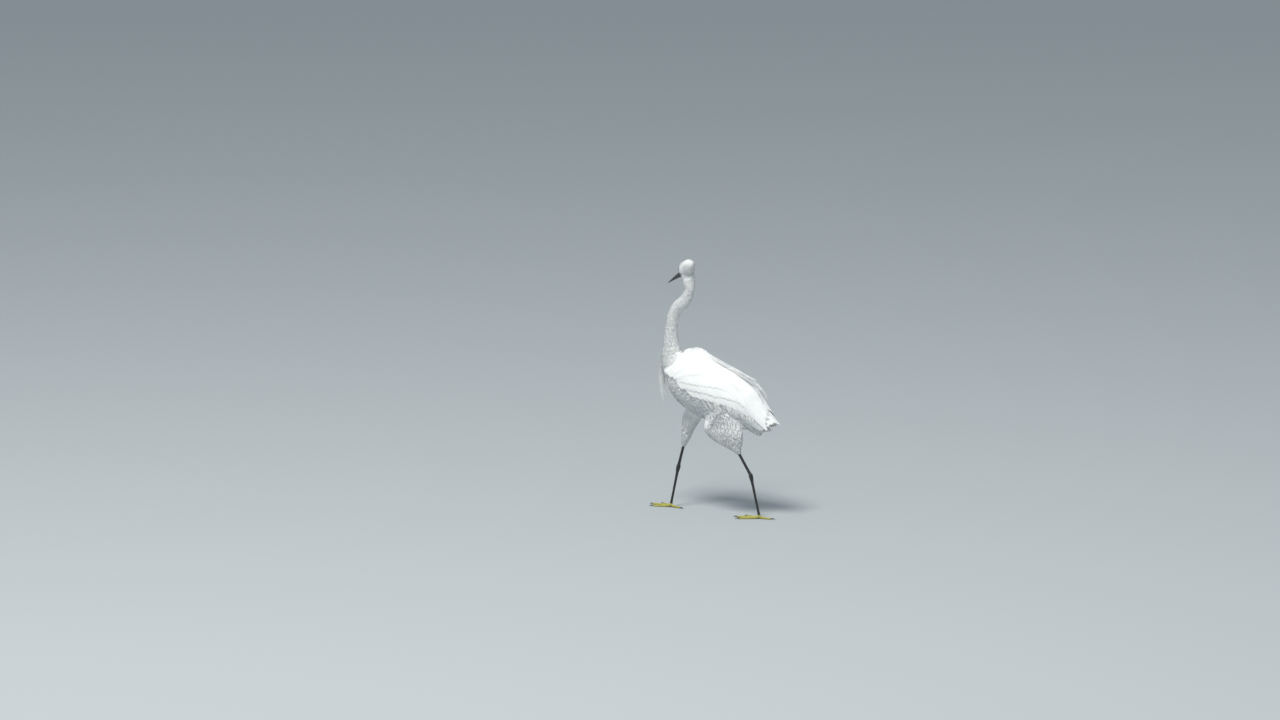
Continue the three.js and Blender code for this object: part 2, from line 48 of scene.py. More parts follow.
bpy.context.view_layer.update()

# %% [markdown]
# The picture was taken from far away with a long lens, so the bird shows almost without perspective. A
# camera 16 m off with a narrow lens does the same. It looks down a little, from the bird's left and
# slightly behind.

# %% Camera
AZIMUTH = math.radians(118)
ELEVATION = math.radians(9)
DISTANCE = 16.0
AIM = Vector((0.0495, -0.1589, 0.3499))
PICTURE_WIDTH = 1280 * 2.3 * MM  # the frame across, measured at the bird

away = Vector((
    math.sin(AZIMUTH) * math.cos(ELEVATION),
    -math.cos(AZIMUTH) * math.cos(ELEVATION),
    math.sin(ELEVATION),
))
lens = bpy.data.cameras.new("camera")
lens.lens = lens.sensor_width * DISTANCE / PICTURE_WIDTH
lens.clip_end = 300
camera = bpy.data.objects.new("camera", lens)
camera.location = AIM + away * DISTANCE
camera.rotation_euler = away.to_track_quat("Z", "Y").to_euler()
bpy.context.scene.collection.objects.link(camera)
bpy.context.scene.camera = camera
print("lens:", round(lens.lens, 1), "mm")

# %% [markdown]
# Materials and Geometry Nodes are both trees of nodes, so one small helper adds nodes and joins their
# sockets.

# %% Helpers for node trees
class Graph:
    """Adds nodes to a tree. An input is given a constant or another node's socket."""

    def __init__(self, tree):
        self.tree = tree

    def add(self, kind, inputs=None, **settings):
        node = self.tree.nodes.new(kind)
        for key, value in settings.items():
            setattr(node, key, value)
        for name, value in (inputs or {}).items():
            socket = node.inputs[name] if isinstance(name, int) else pick(node.inputs, name)
            if isinstance(value, bpy.types.NodeSocket):
                self.tree.links.new(value, socket)
            else:
                socket.default_value = value
        return node

    def value(self, operation, *operands):
        return self.add("ShaderNodeMath", dict(enumerate(operands)), operation=operation).outputs[0]

    def vector(self, operation, *operands):
        return self.add("ShaderNodeVectorMath", dict(enumerate(operands)), operation=operation).outputs[0]

    def scaled(self, vector, by):
        return self.add("ShaderNodeVectorMath", {0: vector, "Scale": by}, operation="SCALE").outputs[0]

    def mix(self, share, first, second, **settings):
        inputs = {"Factor": share, "A": first, "B": second}
        return pick(self.add("ShaderNodeMix", inputs, data_type="RGBA", **settings).outputs, "Result")

    def join(self, output, into):
        self.tree.links.new(output, into)


def pick(sockets, name):
    return next(socket for socket in sockets if socket.name == name and socket.enabled)


# %% [markdown]
# A white bird needs a floor a little darker than itself and light with a direction, or its form is lost. A
# broad lamp stands high behind the camera, as the sun did, and a weak pale sky fills the shaded belly.

# %% Floor and light
FLOOR_REACH = 60.0
FLOOR_DROP = 0.2 * MM  # keeps the floor clear of the toes
FLOOR_COLOUR = (0.38, 0.41, 0.42, 1)
KEY = {
    "size": 3.0, "distance": 9.0, "power": 840, "colour": (1.0, 0.98, 0.94),
    "behind": 0.6, "left": 0.3, "aim height": 0.3,
}
SKY = {"colour": (0.82, 0.91, 1.0, 1), "strength": 0.54}


def plain_material(name, colour, roughness):
    material = bpy.data.materials.new(name)
    material.use_nodes = True
    shader = material.node_tree.nodes["Principled BSDF"]
    shader.inputs["Base Color"].default_value = colour
    shader.inputs["Roughness"].default_value = roughness
    return material, Graph(material.node_tree), shader


floor_mesh = bpy.data.meshes.new("floor")
corners = [(-1, -1), (1, -1), (1, 1), (-1, 1)]
corners = [(x * FLOOR_REACH, y * FLOOR_REACH, -FLOOR_DROP) for x, y in corners]
floor_mesh.from_pydata(corners, [], [(0, 1, 2, 3)])
floor_mesh.materials.append(plain_material("floor_finish", FLOOR_COLOUR, 0.9)[0])
floor = bpy.data.objects.new("floor", floor_mesh)
bpy.context.scene.collection.objects.link(floor)

right = Vector((-away.y, away.x, 0)).normalized()
key_from = (away * KEY["behind"] - right * KEY["left"] + Vector((0, 0, 1.0))).normalized()
key = bpy.data.lights.new("key", "AREA")
key.size = KEY["size"]
key.energy = KEY["power"]
key.color = KEY["colour"]
key_lamp = bpy.data.objects.new("key", key)
key_lamp.location = Vector((0, 0, KEY["aim height"])) + key_from * KEY["distance"]
key_lamp.rotation_euler = key_from.to_track_quat("Z", "Y").to_euler()
bpy.context.scene.collection.objects.link(key_lamp)

world = bpy.data.worlds.new("sky")
world.use_nodes = True
backdrop = world.node_tree.nodes["Background"]
backdrop.inputs["Color"].default_value = SKY["colour"]
backdrop.inputs["Strength"].default_value = SKY["strength"]
bpy.context.scene.world = world
bpy.context.scene.view_settings.view_transform = "Standard"
print("lamp at", [round(v, 2) for v in key_lamp.location])

# %% [markdown]
# The bird's form is a few smooth runs of oval sections: trunk, the sheath of the folded wings, neck, head
# and thighs. They are the measures that the solids were made from. Each row gives where a section lies and
# how far it reaches to the side, above its axis and below it. A smooth curve fills in the rest.

# %% Measures of the bird, in millimetres
TRUNK = [
    [-108, 328, 12, 14, 14],
    [-98, 323, 29, 58, 36],
    [-76, 313, 41, 71, 55],
    [-45, 301, 46, 68, 66],
    [-5, 287, 46, 61, 70],
    [35, 273, 43, 58, 64],
    [70, 255, 35, 52, 54],
    [88, 241, 27, 38, 40],
    [102, 230, 17, 22, 24],
    [109, 224.5, 7, 9, 10],
]
VENT = [[80, 229, 17, 24, 18], [96, 213, 14, 26, 15], [108, 200, 9, 24, 10], [117, 191, 4, 14, 3]]
SHEATH = [
    [-102, 325, 27, 38, 32],
    [-91, 320, 38, 56, 46],
    [-72, 312, 45, 71, 60],
    [-42, 300, 49, 70, 68],
    [0, 286, 50, 63, 72],
    [38, 272, 47, 61, 64],
    [74, 256, 41, 56, 54],
    [99, 240, 34, 42, 42],
    [120, 224, 28.5, 33, 31],
    [144, 205, 24, 27, 22],
]
NECK = [
    [-84, 314, 30, 32, 32],
    [-103, 335, 27, 30, 41],
    [-112, 361, 20, 24, 29],
    [-113, 385, 16.5, 19.5, 20],
    [-113.5, 408, 14.5, 16.5, 16.5],
    [-111, 432, 13, 15, 15],
    [-105.5, 453, 12.5, 15.5, 14],
    [-94, 471, 12.5, 17, 14],
    [-77, 487, 12, 16, 13.5],
    [-67, 508, 11.5, 12.5, 12],
    [-64, 530, 11.5, 12.5, 12.5],
    [-66, 548, 10, 10, 10],
]
THROAT = [
    [-64, 512, 11.5, 12.5, 12],
    [-66, 528, 12.6, 13.6, 13.4],
    [-69, 543, 14.4, 15.6, 16],
    [-72, 558, 15, 16, 17],
]
HEAD = {"at": (0, -74, 561.5), "turn": 38, "dip": 21}
SKULL = [
    [-28, -3.5, 6, 7.4, 6.8],
    [-22, -2.5, 8.8, 10.4, 10],
    [-15, -1, 12.6, 14.6, 14.5],
    [-6, 0.5, 16.2, 18, 17.5],
    [5, 1, 17.4, 19, 18.5],
    [16, 0, 15.2, 17, 17],
    [24.5, -2, 9.8, 10.5, 10.5],
    [27.5, -3, 4, 4, 4],
]
BROW = [[-34, -0.6, 3, 3.2, 3], [-27, -0.5, 6, 7.5, 6], [-18, 1, 10, 12.5, 10], [-8, 1, 13, 16, 13]]
CREST = [
    [2, 2, 14, 16.5, 14],
    [13, 3.5, 15.8, 16.4, 15],
    [22, 3.5, 14, 14.6, 14],
    [28, 1, 9, 10, 9.5],
    [31, -1, 4, 4.5, 4],
]
CHIN = [[-34, -7.8, 2.2, 2, 2.7], [-26, -8, 4.2, 4, 5], [-16, -7, 8, 7, 7.4], [-6, -6, 11, 10, 10.5]]
# Level sections of each thigh [x, y, z, half width, half length], then the heel, toe joint and heading. The
# first two lie inside the trunk, so that flank and thigh flow into each other.
LEGS = {
    "left": {
        "thigh": [
            [24, 26, 264, 18, 26],
            [25, 30, 240, 18.5, 38],
            [25, 33, 217, 18, 46],
            [27, 37, 196, 18, 49],
            [26, 48, 176, 14, 38],
            [25, 63, 161, 9.5, 19],
            [24.5, 72, 152, 6.5, 10],
            [24, 76.5, 146.5, 4.2, 5.5],
        ],
        "heel": (20, 104, 99),
        "ball": (20, 126, 6.5),
        "heading": 4,
    },
    "right": {
        "thigh": [
            [-20, -48, 264, 14, 24],
            [-20, -57, 240, 14, 25],
            [-21, -68, 216, 15.5, 24.5],
            [-22, -79, 190, 14, 16.5],
            [-21.5, -85.5, 165, 10.5, 11],
            [-21, -90.5, 150, 6.5, 6.5],
            [-21, -92, 144.5, 4.2, 4.4],
        ],
        "heel": (-20, -104, 98),
        "ball": (-21, -124, 6.5),
        "heading": -10,
    },
}
SIDES = {"left": 1, "right": -1}


def place(points):
    """Millimetres in the bird's own frame become metres where the solids stand."""
    return (np.asarray(points, float) + STANDS_AT) * MM


def curve_at(rows, share):
    """The value at a share of the way along a smooth curve through the rows."""
    rows = np.asarray(rows, float)
    share = np.asarray(share, float)
    spot = np.clip(share.ravel(), 0, 1) * (len(rows) - 1)
    first = np.minimum(spot.astype(int), len(rows) - 2)
    t = (spot - first)[:, None]
    padded = np.vstack([2 * rows[0] - rows[1], rows, 2 * rows[-1] - rows[-2]])
    before, start, end, after = (padded[first + k] for k in range(4))
    leave = (end - before) / 2
    reach = (after - start) / 2
    value = (
        (2 * t**3 - 3 * t**2 + 1) * start
        + (t**3 - 2 * t**2 + t) * leave
        + (3 * t**2 - 2 * t**3) * end
        + (t**3 - t**2) * reach
    )
    return value.reshape(share.shape + (rows.shape[1],))


def smooth_step(t, low, high):
    """Eases from 0 at low to 1 at high."""
    t = np.clip((t - low) / (high - low), 0, 1)
    return t * t * (3 - 2 * t)


def lerp(a, b, t):
    """The point at a share t of the way from a to b."""
    return np.asarray(a, float) * (1 - t) + np.asarray(b, float) * t


def unit(vectors):
    """The same directions, each 1 long."""
    return vectors / np.maximum(np.linalg.norm(vectors, axis=-1, keepdims=True), 1e-9)


def steps_of(path):
    """The lengths of a path's steps from point to point."""
    return np.linalg.norm(np.diff(path, axis=0), axis=1)


def flow_along(path):
    """The way a path runs at each of its points."""
    return unit(np.gradient(path, axis=0))


def circle(sides):
    """Even angles once round."""
    return np.linspace(0, 2 * math.pi, sides, endpoint=False)


def tube(path, radius, first, second, turn):
    """Rings round a path, with one radius for each ring, or for each ring and side."""
    around = np.cos(turn)[:, None] * first[:, None] + np.sin(turn)[:, None] * second[:, None]
    return path[:, None] + np.reshape(radius, (len(path), -1, 1)) * around


class Run:
    """A smooth run of oval sections in the plane that halves the bird."""

    def __init__(self, rows):
        rows = np.array(rows, float)
        self.centres = np.column_stack([np.zeros(len(rows)), rows[:, 0], rows[:, 1]])
        self.sizes = rows[:, 2:]
        self.length = steps_of(curve_at(self.centres, np.linspace(0, 1, 201))).sum()

    def tangent(self, share):
        step = 1e-3
        low = np.clip(share - step, 0, 1)
        high = np.clip(share + step, 0, 1)
        return unit(curve_at(self.centres, high) - curve_at(self.centres, low))

    def at(self, share, angle, lift=0.0):
        """The point at a share of the length and an angle from the upper side towards +X."""
        share, angle, lift = np.broadcast_arrays(*(np.asarray(v, float) for v in (share, angle, lift)))
        along = np.clip(share, 0, 1)
        size = curve_at(self.sizes, along)
        tangent = self.tangent(along)
        upper = np.cross([1.0, 0, 0], tangent)
        high = np.where(np.cos(angle) > 0, size[..., 1], size[..., 2]) + lift
        return (
            curve_at(self.centres, along)
            + np.array([1.0, 0, 0]) * ((size[..., 0] + lift) * np.sin(angle))[..., None]
            + upper * (high * np.cos(angle))[..., None]
            + tangent * ((share - along) * self.length)[..., None]
        )


RUNS = {
    "trunk": Run(TRUNK), "vent": Run(VENT), "sheath": Run(SHEATH), "neck": Run(NECK), "throat": Run(THROAT),
    "skull": Run(SKULL), "brow": Run(BROW), "crest": Run(CREST), "chin": Run(CHIN),
}
IN_HEAD = ("skull", "brow", "crest", "chin")  # runs measured in the head's own frame
head_matrix = (
    Matrix.Translation(Vector(HEAD["at"]))
    @ Matrix.Rotation(math.radians(-HEAD["turn"]), 4, "Z")
    @ Matrix.Rotation(math.radians(HEAD["dip"]), 4, "X")
)
HEAD_TURN = np.array(head_matrix.to_3x3())
HEAD_AT = np.array(HEAD["at"], float)


def from_head(points):
    """Points in the head's frame (forward is -Y) in the bird's frame."""
    return np.asarray(points, float) @ HEAD_TURN.T + HEAD_AT


def to_head(points):
    return (np.asarray(points, float) - HEAD_AT) @ HEAD_TURN


print("lengths:", {name: round(run.length) for name, run in RUNS.items()})

# %% [markdown]
# Meshes are gathered in arrays and made in one go, which is quick even for many feathers. Every closed form
# here is either a loft of rings or a thin sheet whose two faces share their rim.

# %% Mesh gatherer
PATCH = 0.003  # side of each tuft's patch on the bake map
RIM_ANGLE = math.radians(125)


class Gathering:
    """Collects closed forms and turns them into one mesh object."""

    def __init__(self):
        self.points, self.faces, self.vane, self.patch = [], [], [], []
        self.count = 0

    def put(self, points, faces, vane=None, patch=None):
        """Adds a form, with its own map and its place on the bake map where it has them."""
        points = np.asarray(points, float)
        self.points.append(points)
        self.faces += [tuple(i + self.count for i in face) for face in faces]
        self.count += len(points)
        if vane is not None:
            self.vane.append(np.asarray(vane, float))
        if patch is not None:
            self.patch.append(np.tile(np.asarray(patch, float), (len(points), 1)))

    def build(self, name, finish):
        mesh = bpy.data.meshes.new(name)
        mesh.from_pydata(place(np.concatenate(self.points)).tolist(), [], self.faces)
        mesh.update()
        corner = mesh_array(mesh.loops, "vertex_index", 1, np.int32)
        maps = {}
        if self.vane:
            maps["vane"] = np.concatenate(self.vane)
        if self.patch:
            maps["OFBake"] = np.concatenate(self.patch) + (maps["vane"] - 0.5) * PATCH
        for layer, values in maps.items():
            mesh.uv_layers.new(name=layer).data.foreach_set("uv", values[corner].ravel())
        mesh.materials.append(finish)
        crease(mesh)
        print(name, "has", sum(len(f) - 2 for f in self.faces), "triangles")
        return linked(name, mesh)


def shade_smooth(mesh):
    mesh.polygons.foreach_set("use_smooth", np.ones(len(mesh.polygons), bool))


def crease(mesh):
    """Shades a mesh smooth but for the rims of thin vanes, which would look dark and thick otherwise."""
    shade_smooth(mesh)
    mesh.set_sharp_from_angle(angle=RIM_ANGLE)


def linked(name, mesh):
    """Puts a mesh in the scene as an object of that name."""
    piece = bpy.data.objects.new(name, mesh)
    bpy.context.scene.collection.objects.link(piece)
    return piece


def mesh_array(collection, key, width, kind=np.float32):
    """Reads one value per element of a mesh into an array."""
    values = np.zeros(len(collection) * width, kind)
    collection.foreach_get(key, values)
    return values.reshape(-1, width) if width > 1 else values


def store(mesh, name, values, kind="FLOAT"):
    """Keeps one value for each point of a mesh."""
    layer = mesh.attributes.new(name, kind, "POINT")
    key = "vector" if kind == "FLOAT_VECTOR" else "value"
    layer.data.foreach_set(key, np.ascontiguousarray(values).ravel())


def loft(rings):
    """Points and faces of a closed skin over rings that run alike."""
    rings = np.asarray(rings, float)
    steps, sides = rings.shape[:2]
    points = np.vstack([rings.reshape(-1, 3), rings[0].mean(0), rings[-1].mean(0)])
    faces = []
    for r in range(steps - 1):
        for i in range(sides):
            j = (i + 1) % sides
            faces.append((r * sides + i, r * sides + j, (r + 1) * sides + j, (r + 1) * sides + i))
    last = (steps - 1) * sides
    for i in range(sides):
        j = (i + 1) % sides
        faces.append((j, i, steps * sides))
        faces.append((last + i, last + j, steps * sides + 1))
    return points, faces


def sheet(top, bottom):
    """Points and faces of a thin closed form whose faces share the rim of the upper grid."""
    rows, across = top.shape[:2]
    index = np.arange(rows * across).reshape(rows, across)
    under = index.copy()
    inner = bottom[1:-1, 1:-1].reshape(-1, 3)
    under[1:-1, 1:-1] = rows * across + np.arange(len(inner)).reshape(rows - 2, across - 2)
    faces = []
    for r in range(rows - 1):
        for i in range(across - 1):
            faces.append((index[r, i], index[r, i + 1], index[r + 1, i + 1], index[r + 1, i]))
            faces.append((under[r, i], under[r + 1, i], under[r + 1, i + 1], under[r, i + 1]))
    return np.vstack([top.reshape(-1, 3), inner]), faces


# %% [markdown]
# One skin carries the whole coat, so no seam shows where neck, trunk, wings and thighs meet. The runs are
# drawn a little inside the solids, by the depth of the coat, fused with a voxel remesh and then smoothed.

# %% Skin
SKIN_VOXEL = 1.7 * MM
SKIN_SMOOTHING = 10  # rounds
SHEATH_ON_BODY = 0.8  # share of the sheath's length that the skin follows, as the wing tips stand free
THINNEST_THIGH = 1.2
COAT_DEPTH = {
    "trunk": 3.4, "vent": 3.0, "sheath": 3.4, "neck": 2.0, "throat": 2.0, "thigh": 3.0,
    "skull": 1.3, "crest": 1.3, "brow": 0.7, "chin": 0.7,
}


def thigh_rings(rows, inset, steps=24, sides=28):
    rows = np.array(rows, float)
    middle = curve_at(rows, np.linspace(0, 1, steps))
    turn = circle(sides)
    half = np.maximum(middle[:, 3:5] - inset, THINNEST_THIGH)
    rings = np.zeros((steps, sides, 3))
    rings[..., 0] = middle[:, None, 0] + half[:, None, 0] * np.sin(turn)
    rings[..., 1] = middle[:, None, 1] + half[:, None, 1] * np.cos(turn)
    rings[..., 2] = middle[:, None, 2]
    return rings


def skin_forms(steps=60, sides=40):
    """The rings of each form that the skin is fused from."""
    for name, run in RUNS.items():
        share = np.linspace(0, SHEATH_ON_BODY if name == "sheath" else 1.0, steps)[:, None]
        rings = run.at(share, circle(sides), -COAT_DEPTH[name])
        yield from_head(rings) if name in IN_HEAD else rings
    for leg in LEGS.values():
        yield thigh_rings(leg["thigh"], COAT_DEPTH["thigh"])


def remeshed(name, gathering):
    """Fuses what was gathered into one closed surface."""
    rough = gathering.build("rough_form", None)
    fuse = rough.modifiers.new("fuse", "REMESH")
    fuse.mode = "VOXEL"
    fuse.voxel_size = SKIN_VOXEL
    ease = rough.modifiers.new("ease", "SMOOTH")
    ease.factor = 0.5
    ease.iterations = SKIN_SMOOTHING
    mesh = evaluated_mesh(rough)
    bpy.data.objects.remove(rough)
    return linked(name, mesh)


def evaluated_mesh(piece):
    seen = piece.evaluated_get(bpy.context.evaluated_depsgraph_get())
    return bpy.data.meshes.new_from_object(seen)


gathering = Gathering()
for rings in skin_forms():
    gathering.put(*loft(rings))
skin = remeshed("skin", gathering)
skin_mesh = skin.data
shade_smooth(skin_mesh)
print("skin has", len(skin_mesh.polygons), "faces")

# %% [markdown]
# Feathers need to know three things at every point of the skin: which way they lie, how long they are and
# what part of the bird they are on. Each point takes these from the runs near it, blended so that they flow
# from one part into the next. Smart unwrapping gives the skin the map that the bake uses.

# %% Lie of the coat
SAMPLES = 60  # places along a run where the lie is taken
THIGH_SAMPLES = 30
BLENDING = 7  # how fast the lie of one part gives way to the next part's
NAPE = {"from": 0.42, "to": 0.85, "falls": (0, 0.35, -1.0)}  # where the skull's feathers turn down


def sampled(run, back=False, of_head=False):
    """Centres, flow and radii at places along a run."""
    share = np.linspace(0.02, 0.98, SAMPLES)
    centre = curve_at(run.centres, share)
    flow = run.tangent(share) * (-1 if back else 1)
    radius = curve_at(run.sizes, share).mean(1)
    if of_head:
        centre = from_head(centre)
        flow = flow @ HEAD_TURN.T
    return centre, flow, radius


def sampled_thigh(leg):
    middle = curve_at(leg["thigh"], np.linspace(0, 1, THIGH_SAMPLES))
    return middle[:, :3], flow_along(middle[:, :3]), middle[:, 3:5].mean(1)


def head_flow():
    """Feathers run back over the crown and turn down to the nape behind the eyes."""
    centre, flow, radius = sampled(RUNS["skull"], of_head=True)
    turned = smooth_step(np.linspace(0, 1, len(flow)), NAPE["from"], NAPE["to"])[:, None]
    return centre, unit(flow * (1 - turned) + np.array(NAPE["falls"]) * turned), radius


PARTS = ["trunk", "vent", "neck", "skull", "thigh_left", "thigh_right"]
FLOWS = {
    "trunk": sampled(RUNS["sheath"]),
    "vent": sampled(RUNS["vent"]),
    "neck": sampled(RUNS["neck"], back=True),
    "skull": head_flow(),
    "thigh_left": sampled_thigh(LEGS["left"]),
    "thigh_right": sampled_thigh(LEGS["right"]),
}
# Length of a feather along each part, from the start of its run to the end, in millimetres.
FEATHER_LENGTH = {
    "trunk": (17, 20, 24, 26),
    "vent": (22, 26),
    "neck": (17, 13, 10, 8, 7),
    "skull": (4.2, 5.0, 6.0, 7),
    "thigh_left": (18, 15, 11, 8),
    "thigh_right": (18, 15, 11, 8),
}

spots = mesh_array(skin_mesh.vertices, "co", 3).astype(float) / MM - STANDS_AT
outward = mesh_array(skin_mesh.vertex_normals, "vector", 3).astype(float)
nearness, flows, lengths = [], [], []
for part in PARTS:
    centre, flow, radius = FLOWS[part]
    gap = np.linalg.norm(spots[:, None, :] - centre[None], axis=2) / radius[None]
    best = gap.argmin(1)
    nearness.append(gap.min(1))
    flows.append(flow[best])
    share = best / (len(centre) - 1)
    lengths.append(curve_at(np.array(FEATHER_LENGTH[part], float)[:, None], share)[:, 0])
nearness = np.array(nearness)
weight = np.exp(-BLENDING * (nearness - nearness.min(0)))
weight /= weight.sum(0)
lie = np.einsum("pv,pvk->vk", weight, np.array(flows))
lie = unit(lie - outward * (lie * outward).sum(1, keepdims=True))
length = (weight * np.array(lengths)).sum(0)
part_of = nearness.argmin(0)
store(skin_mesh, "lie", lie, "FLOAT_VECTOR")
store(skin_mesh, "out", outward, "FLOAT_VECTOR")
store(skin_mesh, "length", length * MM)
print("points on each part:", {p: int((part_of == i).sum()) for i, p in enumerate(PARTS)})

# %% Unwrap of the skin
bpy.context.view_layer.objects.active = skin
skin.select_set(True)
bpy.ops.object.mode_set(mode="EDIT")
bpy.ops.mesh.select_all(action="SELECT")
bpy.ops.uv.smart_project(angle_limit=math.radians(66), island_margin=0.004)
bpy.ops.object.mode_set(mode="OBJECT")
skin.select_set(False)
skin_mesh.uv_layers[0].name = "OFBake"
skin_faces = [face.vertices for face in skin_mesh.polygons]
skin_tree = BVHTree.FromPolygons([vertex.co for vertex in skin_mesh.vertices], skin_faces)


def patch_at(point):
    """Place on the bake map of the skin point nearest to a point given in millimetres."""
    _, _, face, _ = skin_tree.find_nearest(Vector(place(point)))
    return skin_mesh.uv_layers["OFBake"].data[skin_mesh.polygons[face].loop_start].uv


# %% [markdown]
# Where feathers grow is a mask on the skin. The lores, between eye and bill, and a ring round the eye are
# bare. Under the folded wings nothing shows, so nothing grows there.

# %% Where feathers grow
EYE = {"forward": 10.5, "side": 10.2, "up": 3.2, "radius": 5.6, "looks ahead": 18}
BILL = {"from": 24, "length": 88, "height": 14.5, "width": 10.5, "up": -3.2, "sag": -2.6, "gape": 0.4}
BARE_ROUND_EYE = 6.2
LORE = {"half height": 3.4, "from middle": 4.5}
BILL_ROOT = {"from": 24.5, "low": -7.2, "high": 0.4}  # bare skin that the bill covers
CHEEK = 9.0  # the ring round the eye lies further than this from the head's middle
# The mouth runs back from the bill's corner: from and to, in shares of the skull and degrees from its top.
MOUTH = {"shares": (0.03, 0.31), "angles": (93, 131), "bare": 1.5}
UNDER_WING = {"from share": 0.17, "from degree": 20, "to degree": 84}  # degrees down from the back's middle
BACK_TO_BELLY = 90  # degrees down from the back's middle


def mouth_line(side, aside=0.0, lift=0.0, steps=14):
    share = np.linspace(*MOUTH["shares"], steps)
    angle = np.radians(np.linspace(*MOUTH["angles"], steps) + aside)
    return from_head(RUNS["skull"].at(share, side * angle, lift))


in_head = to_head(spots)
sideways = np.abs(in_head[:, 0])
forward = -in_head[:, 1]
height = in_head[:, 2]
from_eye = np.hypot(forward - EYE["forward"], height - EYE["up"])
along_lore = np.clip((forward - EYE["forward"]) / (BILL["from"] - EYE["forward"]), 0, 1.4)
lore_line = EYE["up"] + (BILL["up"] - EYE["up"]) * along_lore
on_head = part_of == PARTS.index("skull")
near_lore = np.abs(height - lore_line) < LORE["half height"]
lore = (forward > EYE["forward"]) & near_lore & (sideways > LORE["from middle"])
at_bill = (forward > BILL_ROOT["from"]) & (height > BILL_ROOT["low"]) & (height < BILL_ROOT["high"])
mouth = np.concatenate([mouth_line(side, lift=-COAT_DEPTH["skull"]) for side in SIDES.values()])
from_mouth = np.linalg.norm(spots[:, None, :] - mouth[None], axis=2).min(1)
at_eye = (from_eye < BARE_ROUND_EYE) & (sideways > CHEEK)
bare = on_head & (at_eye | lore | at_bill | (from_mouth < MOUTH["bare"]))
store(skin_mesh, "bare", bare.astype(float))

on_trunk = part_of == PARTS.index("trunk")
sheath_centres, sheath_flow, _ = FLOWS["trunk"]
best = np.linalg.norm(spots[:, None, :] - sheath_centres[None], axis=2).argmin(1)
offset = spots - sheath_centres[best]
upper = np.cross([1.0, 0, 0], sheath_flow[best])
round_trunk = np.degrees(np.arctan2(np.abs(offset[:, 0]), (offset * upper).sum(1)))
under_wing = on_trunk & (best / (SAMPLES - 1) > UNDER_WING["from share"])
under_wing &= (round_trunk > UNDER_WING["from degree"]) & (round_trunk < UNDER_WING["to degree"])
print("bare:", int(bare.sum()), "under the wings:", int(under_wing.sum()))

# %% [markdown]
# Plumage is white, but not one white: each feather's barbs make fine slanting ridges beside its shaft, and
# the whole varies a little from cool to warm. The barbs are drawn from each feather's own map, u across and
# v along it, and the slow variation comes from noise in object space. A third effect is the small scales of
# bare skin. All three are node groups that the finishes share.

# %% Shared effects
def new_group(name, inputs, outputs):
    """An empty shared effect: its tree, the graph to fill, and the nodes for what is given and made."""
    tree = bpy.data.node_groups.new(name, "ShaderNodeTree")
    for label, kind, value in inputs:
        socket = tree.interface.new_socket(label, in_out="INPUT", socket_type=kind)
        socket.default_value = value
    for label, kind in outputs:
        tree.interface.new_socket(label, in_out="OUTPUT", socket_type=kind)
    graph = Graph(tree)
    return tree, graph, graph.add("NodeGroupInput"), graph.add("NodeGroupOutput")


COLOUR, NUMBER = "NodeSocketColor", "NodeSocketFloat"

mottle, graph, given, made = new_group(
    "mottle",
    [("Light", COLOUR, (1, 1, 1, 1)), ("Dark", COLOUR, (0, 0, 0, 1)), ("Scale", NUMBER, 60.0)],
    [("Color", COLOUR)],
)
where = graph.add("ShaderNodeTexCoord")
noise = graph.add("ShaderNodeTexNoise", {
    "Vector": where.outputs["Object"], "Scale": given.outputs["Scale"], "Detail": 5.0, "Roughness": 0.6,
})
spread = graph.add("ShaderNodeMapRange", {"Value": noise.outputs[0], "From Min": 0.32, "From Max": 0.68})
tone = graph.mix(spread.outputs[0], given.outputs["Dark"], given.outputs["Light"])
graph.join(tone, made.inputs["Color"])

barbs, graph, given, made = new_group(
    "barbs",
    [("Count", NUMBER, 26.0), ("Slant", NUMBER, 1.2), ("Shaft", NUMBER, 0.05)],
    [("Height", NUMBER)],
)
vane_map = graph.add("ShaderNodeUVMap", uv_map="vane")
parts = graph.add("ShaderNodeSeparateXYZ", {0: vane_map.outputs[0]})
from_shaft = graph.value("ABSOLUTE", graph.value("SUBTRACT", parts.outputs[0], 0.5))
slant = graph.value("MULTIPLY", from_shaft, given.outputs["Slant"])
turns = graph.value("MULTIPLY", given.outputs["Count"], graph.value("SUBTRACT", parts.outputs[1], slant))
wave = graph.value("SINE", graph.value("MULTIPLY", turns, 2 * math.pi))
on_shaft = graph.add("ShaderNodeMapRange", {
    "Value": from_shaft, "From Min": 0.0, "From Max": given.outputs["Shaft"], "To Min": 1.0, "To Max": 0.0,
})
ridge = graph.value("ADD", graph.value("MULTIPLY", wave, 0.25), on_shaft.outputs[0])
graph.join(ridge, made.inputs["Height"])

pebbles, graph, given, made = new_group(
    "pebbles",
    [("Scale", NUMBER, 900.0), ("Stretch", NUMBER, 1.0)],
    [("Height", NUMBER), ("Groove shade", NUMBER)],
)
where = graph.add("ShaderNodeTexCoord")
squeeze = graph.add("ShaderNodeCombineXYZ", {0: 1.0, 1: 1.0, 2: given.outputs["Stretch"]})
stretched = graph.vector("MULTIPLY", where.outputs["Object"], squeeze.outputs[0])
cells = graph.add("ShaderNodeTexVoronoi", {
    "Vector": stretched, "Scale": given.outputs["Scale"],
}, feature="DISTANCE_TO_EDGE")
crack = graph.add("ShaderNodeMapRange", {"Value": cells.outputs[0], "From Min": 0.0, "From Max": 0.12})
graph.join(crack.outputs[0], made.inputs["Height"])
# The second output marks the grooves between scales, where the finishes paint shade.
graph.join(graph.value("SUBTRACT", 1.0, crack.outputs[0]), made.inputs["Groove shade"])
print("shared effects:", [g.name for g in (mottle, barbs, pebbles)])


